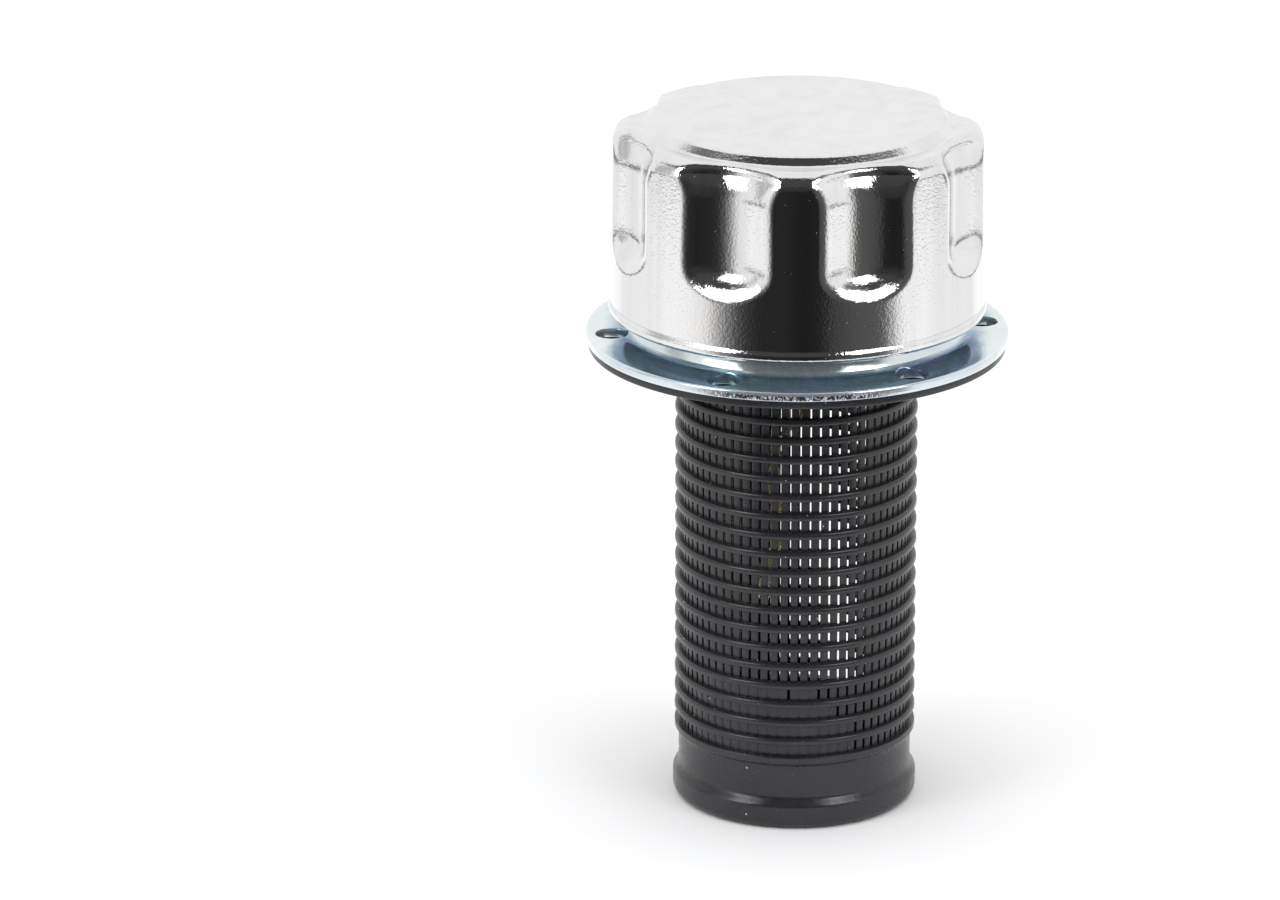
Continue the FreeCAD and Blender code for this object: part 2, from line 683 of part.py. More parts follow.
# coil spring between the washer and the locking plate
helix = doc.addObject("Part::Helix", "spring_line")
helix.Radius = S["spring_mean"].value
bind(helix, "Radius", S["spring_mean"])
spring_low = S["washer_top"] + S["spring_wire"] + 0.02
spring_rise = (S["lock_low"] - S["spring_wire"] - 0.02) - spring_low
helix.Height = spring_rise.value
bind(helix, "Height", spring_rise)
helix.Pitch = S["spring_pitch"].value
bind(helix, "Pitch", S["spring_pitch"])
wire = doc.addObject("Part::Circle", "spring_section")
wire.Radius = S["spring_wire"].value
bind(wire, "Radius", S["spring_wire"])
wire.Placement = FreeCAD.Placement(V(S["spring_mean"].value, 0, 0),
                                   FreeCAD.Rotation(V(1, 0, 0), 90))
bind(wire, "Placement.Base.x", S["spring_mean"])
spring = doc.addObject("Part::Sweep", "lock_spring")
spring.Label = "lock_spring"
spring.Sections = [wire]
spring.Spine = (helix, [])
spring.Solid = True
spring.Frenet = True
spring.Placement = FreeCAD.Placement(V(0, 0, spring_low.value), FreeCAD.Rotation())
bind(spring, "Placement.Base.z", spring_low)
doc.recompute()

# ------------------------------------------------------------- swivel, chain
swivel = new_body("chain_swivel")
swivel_top = bush_top - 0.2
swivel_low = swivel_top - 1.0
revolve(swivel, "swivel_disc", [
    (S["bush_rad"] + S["run_gap"], swivel_low),
    (S["swivel_rad"], swivel_low),
    (S["swivel_rad"], swivel_top),
    (S["bush_rad"] + S["run_gap"], swivel_top),
])
path = new_sketch(swivel, "YZ_Plane", "bail_path")
y0 = S["bail_half"]
za, zb = swivel_low + 0.5, S["bail_turn"]
path.addGeometry(Part.LineSegment(V(-y0.value, za.value, 0), V(-y0.value, zb.value, 0)), False)
path.addGeometry(Part.ArcOfCircle(Part.Circle(V(0, zb.value, 0), V(0, 0, 1), y0.value),
                                  math.pi, 2 * math.pi), False)
path.addGeometry(Part.LineSegment(V(y0.value, zb.value, 0), V(y0.value, za.value, 0)), False)
path.addConstraint(Sketcher.Constraint("Coincident", 0, 2, 1, 1))
path.addConstraint(Sketcher.Constraint("Coincident", 1, 2, 2, 1))
pin_point(path, 0, 1, -y0, za)
pin_point(path, 0, 2, -y0, zb)
pin_point(path, 2, 1, y0, zb)
pin_point(path, 2, 2, y0, za)
i = path.addConstraint(Sketcher.Constraint("DistanceY", -1, 1, 1, 3, zb.value))
bind(path, "Constraints[%d]" % i, zb)
sect = new_sketch(swivel, "XY_Plane", "bail_section", lift=za)
round_line(sect, 0, -y0, S["bail_wire"])
pipe = swivel.newObject("PartDesign::AdditivePipe", "bail")
pipe.Profile = sect
pipe.Spine = (path, ["Edge1", "Edge2", "Edge3"])
doc.recompute()


def link_solid(a, b, flat):
    """One stadium link from joint a to joint b; flat is the angle of its
    plane about the line of the chain."""
    half = S["link_half"].value
    side = S["link_side"].value
    mid = (a + b) * 0.5
    axis = (b - a).normalize()
    straight = half - side
    p = [V(side, 0, straight), V(side, 0, -straight), V(-side, 0, -straight),
         V(-side, 0, straight)]
    edges = [
        Part.LineSegment(p[0], p[1]).toShape(),
        Part.Arc(p[1], V(0, 0, -half), p[2]).toShape(),
        Part.LineSegment(p[2], p[3]).toShape(),
        Part.Arc(p[3], V(0, 0, half), p[0]).toShape(),
    ]
    line = Part.Wire(edges)
    ring = Part.Wire([Part.Circle(p[0], V(0, 0, 1), S["link_wire"].value).toShape()])
    solid = line.makePipeShell([ring], True, False)
    spin = FreeCAD.Rotation(V(0, 0, 1), flat)
    lay = FreeCAD.Rotation(V(0, 0, -1), axis)
    solid.Placement = FreeCAD.Placement(mid, lay.multiply(spin))
    return solid


# the chain hangs from the bail and leans on its way down
LEAN = [0.0, -0.7, -2.2, -3.7, -4.8, -5.0, -4.6, -4.4, -4.2, -4.9, -6.2]
joints = [V(0, 0, S["bail_turn"].value - S["bail_half"].value
            + S["bail_wire"].value + 0.06)]
for i in range(10):
    dx = LEAN[i + 1] - LEAN[i]
    dz = math.sqrt(S["link_step"].value ** 2 - dx ** 2)
    joints.append(joints[-1] + V(dx, 0, -dz))
links = [link_solid(joints[i], joints[i + 1], 0 if i % 2 == 0 else 90) for i in range(10)]
chain = doc.addObject("Part::Feature", "chain_links")
chain.Label = "chain_links"
chain.Shape = Part.makeCompound(links)
chain.Placement = FreeCAD.Placement()

# cross bar at the end of the chain, too long to leave through the collar
end = joints[-1]
eye_z = end.z + S["eye_wire"].value + 0.04 - S["eye_rad"].value
bar_z = eye_z - S["eye_rad"].value - S["bar_wire"].value + 0.35
tilt = S["bar_tilt"].value
run = V(0, -math.cos(math.radians(tilt)), math.sin(math.radians(tilt)))
centre = V(end.x, 0, bar_z)
rod = doc.addObject("Part::Cylinder", "bar_rod")
rod.Radius = S["bar_wire"].value
bind(rod, "Radius", S["bar_wire"])
rod.Height = 2 * S["bar_half"].value
bind(rod, "Height", S["bar_half"] * 2.0)
rod.Placement = FreeCAD.Placement(centre - run * S["bar_half"].value,
                                  FreeCAD.Rotation(V(0, 0, 1), run))
ends = []
for tag, way in (("front", 1.0), ("back", -1.0)):
    ball = doc.addObject("Part::Sphere", "bar_end_" + tag)
    ball.Radius = S["bar_wire"].value
    bind(ball, "Radius", S["bar_wire"])
    ball.Placement = FreeCAD.Placement(centre + run * (way * S["bar_half"].value),
                                       FreeCAD.Rotation(V(0, 0, 1), run))
    ends.append(ball)
eye = doc.addObject("Part::Torus", "bar_eye")
eye.Radius1 = S["eye_rad"].value
bind(eye, "Radius1", S["eye_rad"])
eye.Radius2 = S["eye_wire"].value
bind(eye, "Radius2", S["eye_wire"])
eye.Placement = FreeCAD.Placement(V(end.x, 0, eye_z), FreeCAD.Rotation(V(1, 0, 0), 90))
bar = doc.addObject("Part::MultiFuse", "retaining_bar")
bar.Label = "retaining_bar"
bar.Shapes = [rod] + ends + [eye]
doc.recompute()

# ------------------------------------------------------------------- output
NODES = [
    "strainer_basket", "bayonet_flange", "cap_shell", "closing_plate",
    "filter_lower_disc", "filter_upper_disc", "filter_paper", "filter_core",
    "felt_ring", "cap_gasket", "locking_plate", "lock_spring", "spring_washer",
    "spacer_sleeve", "rivet_washer", "centre_rivet", "swivel_bush",
    "chain_swivel", "chain_links", "retaining_bar",
]
doc.recompute()
bad = [o.Name for o in doc.Objects if "Invalid" in o.State or "Error" in o.State]
if bad:
    raise RuntimeError("failed objects: " + ", ".join(bad))
by_label = {o.Label: o for o in doc.Objects}
for node in NODES:
    shape = by_label[node].Shape
    if shape.isNull() or not shape.isValid() or not shape.Solids:
        raise RuntimeError("bad shape: " + node)
for node in NODES:
    shape = by_label[node].Shape
    shape.exportStep("parts/%s.step" % node)
    box = shape.BoundBox
    print("%-18s solids %2d  faces %5d  volume %10.1f  z %7.2f %7.2f  r %.2f" % (
        node, len(shape.Solids), len(shape.Faces), shape.Volume, box.ZMin, box.ZMax,
        max(abs(box.XMin), abs(box.XMax))))
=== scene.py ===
import bpy
import math
import random
import numpy as np
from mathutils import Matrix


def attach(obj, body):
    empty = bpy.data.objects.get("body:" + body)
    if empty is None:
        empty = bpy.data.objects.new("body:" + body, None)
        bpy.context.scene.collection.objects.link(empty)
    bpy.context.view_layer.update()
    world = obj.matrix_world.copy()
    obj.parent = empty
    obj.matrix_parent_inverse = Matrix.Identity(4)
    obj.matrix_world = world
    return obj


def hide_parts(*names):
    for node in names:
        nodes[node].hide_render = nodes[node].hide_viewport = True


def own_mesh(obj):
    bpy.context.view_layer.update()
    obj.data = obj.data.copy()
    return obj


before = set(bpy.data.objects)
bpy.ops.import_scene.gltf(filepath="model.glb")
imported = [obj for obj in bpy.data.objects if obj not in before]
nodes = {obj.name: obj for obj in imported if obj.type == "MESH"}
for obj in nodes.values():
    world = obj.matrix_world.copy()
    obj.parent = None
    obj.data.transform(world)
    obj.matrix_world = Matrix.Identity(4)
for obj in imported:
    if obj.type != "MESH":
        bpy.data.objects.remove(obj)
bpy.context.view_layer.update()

# Filler strainer with a chromed bayonet cap, standing on its foot on a pale
# floor.  Lengths are worked out in millimetres and divided by MM when a mesh
# is made, so everything in the scene is in metres.
MM = 1000.0
rnd = random.Random(4021)
scene = bpy.context.scene


# ------------------------------------------------------------------ mesh tools
def make_object(name, verts, faces, smooth=True, normals=None):
    mesh = bpy.data.meshes.new(name)
    mesh.from_pydata((np.asarray(verts, float) / MM).tolist(), [], faces)
    mesh.validate(clean_customdata=False)
    mesh.update()
    if smooth:
        mesh.polygons.foreach_set("use_smooth", [True] * len(mesh.polygons))
    if normals is not None:
        mesh.normals_split_custom_set_from_vertices(np.asarray(normals, float).tolist())
    obj = bpy.data.objects.new(name, mesh)
    scene.collection.objects.link(obj)
    return obj


def sharpen(obj, degrees):
    """Smooth shading with sharp edges where two faces meet at more than the
    given angle."""
    mesh = obj.data
    mesh.polygons.foreach_set("use_smooth", [True] * len(mesh.polygons))
    mesh.set_sharp_from_angle(angle=math.radians(degrees))


class Shell:
    """Collects vertices and faces of one piece."""

    def __init__(self):
        self.verts = []
        self.faces = []

    def add(self, points):
        start = len(self.verts)
        self.verts.extend([tuple(p) for p in points])
        return list(range(start, start + len(points)))

    def band(self, low, high, closed=True, skip=None):
        """Quads between two rows of equal length."""
        n = len(low)
        for i in range(n if closed else n - 1):
            if skip and skip(i):
                continue
            j = (i + 1) % n
            self.faces.append((low[i], low[j], high[j], high[i]))

    def fan(self, row, tip, flip=False):
        n = len(row)
        for i in range(n):
            j = (i + 1) % n
            f = (row[i], row[j], tip)
            self.faces.append(tuple(reversed(f)) if flip else f)

    def spin(self, profile, n, phase=0.0):
        """Rows of a turned shape, one for each point of the profile."""
        rows = []
        for r, z in profile:
            rows.append(self.add([(r * math.cos(phase + 2 * math.pi * i / n),
                                   r * math.sin(phase + 2 * math.pi * i / n), z)
                                  for i in range(n)]))
        return rows

    def turned(self, profile, n, phase=0.0, closed=True):
        """A closed ring: the profile runs once round its section."""
        rows = self.spin(profile, n, phase)
        for a, b in zip(rows, rows[1:] + (rows[:1] if closed else [])):
            self.band(a, b)
        return rows


def arc(cr, cz, rad, a0, a1, count):
    """Points of an arc in the r, z plane, angles in degrees."""
    out = []
    for k in range(count + 1):
        a = math.radians(a0 + (a1 - a0) * k / count)
        out.append((cr + rad * math.cos(a), cz + rad * math.sin(a)))
    return out


def smoothstep(a, b, x):
    t = np.clip((x - a) / (b - a), 0.0, 1.0)
    return t * t * (3 - 2 * t)


# ------------------------------------------------------------------- the camera
cam_data = bpy.data.cameras.new("camera")
cam = bpy.data.objects.new("camera", cam_data)
scene.collection.objects.link(cam)
cam.location = (-0.0088, -1.4196, 0.4592)
cam.rotation_euler = (math.radians(71.27), 0.0, math.radians(0.888))
cam_data.sensor_fit = 'HORIZONTAL'
cam_data.sensor_width = 36.0
cam_data.lens = 213.75
cam_data.clip_start = 0.05
cam_data.clip_end = 50.0
cam_data.dof.use_dof = False
scene.camera = cam
scene.view_settings.view_transform = 'Standard'
scene.view_settings.look = 'None'
scene.view_settings.exposure = 0.0
scene.view_settings.gamma = 1.0


# --------------------------------------------------------------- material tools
class Mat:
    def __init__(self, name):
        self.mat = bpy.data.materials.new(name)
        self.mat.use_nodes = True
        self.nt = self.mat.node_tree
        self.bsdf = self.nt.nodes["Principled BSDF"]
        self.out = self.nt.nodes["Material Output"]
        self.coord = self.nt.nodes.new("ShaderNodeTexCoord").outputs["Object"]

    def new(self, kind, **values):
        node = self.nt.nodes.new(kind)
        for key, value in values.items():
            setattr(node, key, value)
        return node

    def link(self, a, b):
        self.nt.links.new(a, b)

    def set(self, **values):
        for key, value in values.items():
            self.bsdf.inputs[key.replace("_", " ")].default_value = value

    def stretch(self, sx, sy, sz, turn=(0, 0, 0)):
        node = self.new("ShaderNodeMapping")
        node.inputs["Scale"].default_value = (sx, sy, sz)
        node.inputs["Rotation"].default_value = turn
        self.link(self.coord, node.inputs["Vector"])
        return node.outputs["Vector"]

    def noise(self, scale, detail=2.0, rough=0.5, vec=None, distortion=0.0):
        node = self.new("ShaderNodeTexNoise")
        node.inputs["Scale"].default_value = scale
        node.inputs["Detail"].default_value = detail
        node.inputs["Roughness"].default_value = rough
        node.inputs["Distortion"].default_value = distortion
        self.link(vec or self.coord, node.inputs["Vector"])
        return node.outputs["Fac"]

    def voronoi(self, scale, vec=None, feature='F1', out="Distance"):
        node = self.new("ShaderNodeTexVoronoi", feature=feature)
        node.inputs["Scale"].default_value = scale
        self.link(vec or self.coord, node.inputs["Vector"])
        return node

    def ramp(self, fac, stops, mode='LINEAR'):
        node = self.new("ShaderNodeValToRGB")
        ramp = node.color_ramp
        ramp.interpolation = mode
        while len(ramp.elements) < len(stops):
            ramp.elements.new(0.5)
        for element, (pos, value) in zip(ramp.elements, stops):
            element.position = pos
            if isinstance(value, (int, float)):
                value = (value, value, value)
            element.color = (*value, 1.0)
        self.link(fac, node.inputs["Fac"])
        return node.outputs["Color"]

    def math(self, op, a, b=0.0, c=0.0, clamp=False):
        node = self.new("ShaderNodeMath", operation=op, use_clamp=clamp)
        for i, x in enumerate((a, b, c)):
            if isinstance(x, (int, float)):
                node.inputs[i].default_value = x
            else:
                self.link(x, node.inputs[i])
        return node.outputs[0]

    def spread(self, fac, low, high, to_low=0.0, to_high=1.0, kind='SMOOTHSTEP'):
        node = self.new("ShaderNodeMapRange", interpolation_type=kind)
        self.link(fac, node.inputs["Value"])
        node.inputs["From Min"].default_value = low
        node.inputs["From Max"].default_value = high
        node.inputs["To Min"].default_value = to_low
        node.inputs["To Max"].default_value = to_high
        return node.outputs["Result"]

    def mix(self, fac, a, b, blend='MIX'):
        node = self.new("ShaderNodeMix", data_type='RGBA', blend_type=blend)
        if isinstance(fac, (int, float)):
            node.inputs[0].default_value = fac
        else:
            self.link(fac, node.inputs[0])
        for i, x in ((6, a), (7, b)):
            if isinstance(x, tuple):
                node.inputs[i].default_value = (*x, 1.0)
            else:
                self.link(x, node.inputs[i])
        return node.outputs[2]

    def xyz(self):
        node = self.new("ShaderNodeSeparateXYZ")
        self.link(self.coord, node.inputs[0])
        return node.outputs

    def specks(self, scale, share, size, vec=None):
        """Sparse round specks: 1 in a speck, 0 elsewhere."""
        v = self.voronoi(scale, vec)
        sep = self.new("ShaderNodeSeparateColor")
        self.link(v.outputs["Color"], sep.inputs[0])
        pick = self.math('LESS_THAN', sep.outputs[0], share)
        # specks differ in size
        reach = self.math('MULTIPLY', sep.outputs[1], size)
        near = self.math('LESS_THAN', v.outputs["Distance"], reach)
        return self.math('MULTIPLY', pick, near)

    def bump(self, height, distance, strength=1.0, after=None):
        node = self.new("ShaderNodeBump")
        node.inputs["Strength"].default_value = strength
        node.inputs["Distance"].default_value = distance
        self.link(height, node.inputs["Height"])
        if after is not None:
            self.link(after, node.inputs["Normal"])
        return node.outputs["Normal"]

    def drive(self, socket, value):
        self.link(value, self.bsdf.inputs[socket])


# ------------------------------------------------------------------- materials
def make_chrome():
    m = Mat("cap_chrome")
    m.set(Metallic=1.0)
    # faint upright draw marks left by the press, over an orange peel
    upright = m.stretch(1.0, 1.0, 0.035)
    marks = m.noise(900.0, 3.0, 0.6, upright)
    peel = m.noise(1900.0, 2.0, 0.6)
    wave = m.noise(95.0, 1.0, 0.4)
    tone = m.ramp(m.noise(170.0, 4.0, 0.6, upright),
                  [(0.28, (0.745, 0.740, 0.755)), (0.50, (0.812, 0.810, 0.818)), (0.72, (0.845, 0.845, 0.848))])
    pits = m.specks(1500.0, 0.05, 0.22)
    m.drive("Base Color", m.mix(pits, tone, (0.93, 0.93, 0.93)))
    rough = m.spread(m.noise(420.0, 4.0, 0.6), 0.3, 0.75, 0.035, 0.062)
    m.drive("Roughness", m.math('ADD', rough, m.math('MULTIPLY', pits, 0.30)))
    n = m.bump(wave, 0.000040)
    n = m.bump(marks, 0.0000030, after=n)
    n = m.bump(peel, 0.0000450, after=n)
    m.drive("Normal", n)
    return m.mat


def make_blue_zinc():
    m = Mat("blue_zinc")
    # mostly metal, with a thin blue haze of passivation
    m.set(Metallic=0.80)
    patches = m.noise(62.0, 3.0, 0.55, distortion=0.6)
    tint = m.ramp(patches, [(0.28, (0.21, 0.37, 0.38)), (0.44, (0.22, 0.37, 0.45)),
                            (0.58, (0.26, 0.38, 0.54)), (0.70, (0.46, 0.46, 0.66))])
    # painted reflection: a pale, near-neutral colour that stands in for the bright surroundings mirrored in the metal
    painted_reflection_tone = m.ramp(m.noise(120.0, 3.0, 0.5), [(0.3, (0.76, 0.84, 0.83)), (0.7, (0.84, 0.88, 0.90))])
    x, y, z = m.xyz()
    side = m.math('ADD', m.math('ABSOLUTE', x), m.math('MULTIPLY', m.math('SUBTRACT', patches, 0.5), 0.008))
    # painted reflection mask: the plate's left and right ends (|x| past about 34 mm) and the collar above the plate
    # take the pale colour in place of the blue tint
    bright = m.math('MAXIMUM', m.spread(side, 0.0338, 0.0388), m.spread(z, 0.0036, 0.0044, 0.0, 0.92))
    tint = m.mix(bright, tint, painted_reflection_tone)
    fine = m.noise(1900.0, 3.0, 0.6)
    tint = m.mix(m.spread(fine, 0.40, 0.75, 0.0, 0.22), tint, (0.74, 0.80, 0.84))
    # the plate's punched edge: a bright band over a torn dark one
    r = m.math('SQRT', m.math('ADD', m.math('POWER', x, 2.0), m.math('POWER', y, 2.0)))
    rim = m.math('GREATER_THAN', r, 0.0411)
    edge_tone = m.mix(m.math('MULTIPLY', rim, 0.75), tint, (0.82, 0.86, 0.88))
    band = m.math('MULTIPLY', m.spread(z, 0.00265, 0.00295, 1.0, 0.0), m.spread(z, 0.00165, 0.00195))
    torn = m.math('MULTIPLY', m.math('MULTIPLY', rim, band), m.spread(m.math('ABSOLUTE', x), 0.0120, 0.0215, 1.0, 0.0))
    crumbs = m.spread(m.noise(2400.0, 3.0, 0.65, m.stretch(1.0, 1.0, 0.6)), 0.42, 0.50)
    torn_dark = m.math('MULTIPLY', torn, crumbs)
    m.drive("Base Color", m.mix(torn_dark, edge_tone, (0.030, 0.033, 0.040)))
    rough = m.spread(m.noise(700.0, 4.0, 0.6), 0.3, 0.7, 0.10, 0.18)
    m.drive("Roughness", m.math('ADD', rough, m.math('MULTIPLY', torn, 0.25)))
    n = m.bump(fine, 0.0000050)
    n = m.bump(m.math('MULTIPLY', torn, m.noise(3000.0, 3.0, 0.6)), 0.00012, after=n)
    m.drive("Normal", n)
    return m.mat


def make_plastic():
    m = Mat("basket_plastic")
    m.set(IOR=1.48)
    cloud = m.noise(85.0, 4.0, 0.55)
    base = m.ramp(cloud, [(0.3, (0.015, 0.015, 0.0178)), (0.7, (0.024, 0.024, 0.0275))])
    dust = m.specks(950.0, 0.035, 0.22)
    grey = m.specks(2600.0, 0.05, 0.30)
    base = m.mix(grey, base, (0.10, 0.10, 0.105))
    base = m.mix(dust, base, (0.55, 0.56, 0.57))
    m.drive("Base Color", base)
    m.drive("Roughness", m.spread(m.noise(520.0, 4.0, 0.6), 0.3, 0.7, 0.20, 0.32))
    n = m.bump(m.noise(210.0, 2.0, 0.5), 0.000018)
    n = m.bump(m.noise(2400.0, 2.0, 0.5), 0.0000030, after=n)
    m.drive("Normal", n)
    return m.mat


def make_plain_zinc():
    m = Mat("plain_zinc")
    m.set(Metallic=1.0)
    grain = m.noise(520.0, 4.0, 0.6, m.stretch(1.0, 0.12, 1.0))
    m.drive("Base Color", m.ramp(m.noise(160.0, 4.0, 0.6),
                                 [(0.3, (0.50, 0.52, 0.54)), (0.7, (0.66, 0.68, 0.70))]))
    m.drive("Roughness", m.spread(grain, 0.3, 0.7, 0.24, 0.42))
    m.drive("Normal", m.bump(grain, 0.0000060))
    return m.mat


def make_paper():
    m = Mat("filter_paper")
    fibre = m.noise(1300.0, 5.0, 0.7, m.stretch(1.0, 1.0, 0.4))
    m.drive("Base Color", m.ramp(fibre, [(0.25, (0.58, 0.46, 0.27)), (0.75, (0.78, 0.68, 0.48))]))
    m.drive("Roughness", m.spread(fibre, 0.2, 0.8, 0.72, 0.92))
    m.drive("Normal", m.bump(fibre, 0.000040))
    return m.mat


def make_felt():
    m = Mat("felt")
    m.set(Sheen_Weight=0.35, Sheen_Roughness=0.5)
    wool = m.noise(1700.0, 6.0, 0.75, distortion=1.4)
    m.drive("Base Color", m.ramp(wool, [(0.25, (0.36, 0.34, 0.31)), (0.75, (0.62, 0.60, 0.56))]))
    m.drive("Roughness", m.spread(wool, 0.2, 0.8, 0.85, 0.98))
    m.drive("Normal", m.bump(wool, 0.00010))
    return m.mat


def make_rubber():
    m = Mat("gasket_rubber")
    cloud = m.noise(260.0, 4.0, 0.6)
    base = m.ramp(cloud, [(0.3, (0.018, 0.018, 0.019)), (0.7, (0.032, 0.032, 0.033))])
    m.drive("Base Color", m.mix(m.specks(900.0, 0.04, 0.2), base, (0.35, 0.35, 0.35)))
    m.drive("Roughness", m.spread(cloud, 0.3, 0.7, 0.48, 0.66))
    m.drive("Normal", m.bump(m.noise(1500.0, 3.0, 0.6), 0.000012))
    return m.mat


def make_spring_steel():
    m = Mat("spring_steel")
    m.set(Metallic=1.0)
    drawn = m.noise(800.0, 4.0, 0.6)
    m.drive("Base Color", m.ramp(drawn, [(0.3, (0.34, 0.34, 0.36)), (0.7, (0.52, 0.52, 0.54))]))
    m.drive("Roughness", m.spread(drawn, 0.3, 0.7, 0.22, 0.38))
    m.drive("Normal", m.bump(drawn, 0.000008))
    return m.mat


def make_brass():
    m = Mat("chain_brass")
    m.set(Metallic=1.0)
    tarnish = m.noise(380.0, 4.0, 0.6)
    m.drive("Base Color", m.ramp(tarnish, [(0.28, (0.50, 0.36, 0.13)), (0.5, (0.78, 0.60, 0.26)),
                                           (0.75, (0.88, 0.72, 0.36))]))
    m.drive("Roughness", m.spread(tarnish, 0.3, 0.7, 0.34, 0.18))
    m.drive("Normal", m.bump(m.noise(1600.0, 2.0, 0.5), 0.000006))
    return m.mat


MATS = {
    "cap_chrome": make_chrome(), "blue_zinc": make_blue_zinc(), "basket_plastic": make_plastic(),
    "plain_zinc": make_plain_zinc(), "filter_paper": make_paper(), "felt": make_felt(),
    "gasket_rubber": make_rubber(), "spring_steel": make_spring_steel(), "chain_brass": make_brass(),
}


def finish_piece(obj, slot, body, *replaced):
    obj.data.materials.clear()
    obj.data.materials.append(MATS[slot])
    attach(obj, body)
    if replaced:
        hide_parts(*replaced)
    return obj


# ------------------------------------------------------------------ the cap shell
# The outside is one smooth surface: a pressed cup with a raised disc on top
# and eight grip flutes whose edges are all softly rounded.
FLUTE_R, FLUTE_AXIS, FLUTE_TURN = 16.0, 49.1, math.radians(-0.7)
EDGE_SOFT, TOP_SOFT, LIP_SOFT = 1.25, 1.5, 1.7


def round_max(a, b, soft):
    u, v = np.maximum(soft + a, 0.0), np.maximum(soft + b, 0.0)
    return np.minimum(-soft, np.maximum(a, b)) + np.sqrt(u * u + v * v)


def round_min(a, b, soft):
    return -round_max(-a, -b, soft)


def cap_field(x, y, z):
    """Negative inside the cap's outer skin, zero on it."""
    r = np.sqrt(x * x + y * y)
    taper = (36.7 - 36.2) / (45.0 - 8.2)
    side = (r - (36.7 - taper * (z - 8.2))) * math.cos(math.atan(taper))
    cup = round_max(side, z - 45.0, 3.2)
    # the nearest flute: a round channel that opens out towards the top and
    # runs out below, its floor curving forward to the skirt
    a = np.arctan2(y, x) - FLUTE_TURN
    k = np.round((a - math.radians(22.5)) / math.radians(45.0))
    turn = a - (math.radians(22.5) + k * math.radians(45.0))
    u, v = r * np.cos(turn), r * np.sin(turn)
    lean = 0.058 * np.clip(z - 38.0, 0.0, 5.0) ** 2
    shift = 1.05 * 0.80 * np.log1p(np.exp((23.3 - z) / 0.80))
    channel = np.sqrt((u - FLUTE_AXIS - shift) ** 2 + v * v) - FLUTE_R - lean
    soft = LIP_SOFT + (EDGE_SOFT - LIP_SOFT) * smoothstep(20.6, 24.6, z)
    soft = soft + (TOP_SOFT - EDGE_SOFT) * smoothstep(37.0, 43.0, z)
    cup = round_max(cup, -channel, soft)
    # the raised disc on top
    slope = math.atan2(45.0 - 46.7, 30.1 - 28.5)
    step = (r - 28.5) * -math.sin(slope) + (z - 46.7) * math.cos(slope)
    disc = np.maximum(round_max(step, z - 46.7, 0.30), r - 30.9)
    return round_min(cup, disc, 0.28)


def cap_normal(p):
    h = 0.004
    out = []
    for axis in range(3):
        q = [p[..., 0].copy(), p[..., 1].copy(), p[..., 2].copy()]
        q[axis] += h
        plus = cap_field(*q)
        q[axis] -= 2 * h
        out.append(plus - cap_field(*q))
    n = np.stack(out, -1)
    return n / np.linalg.norm(n, axis=-1, keepdims=True)


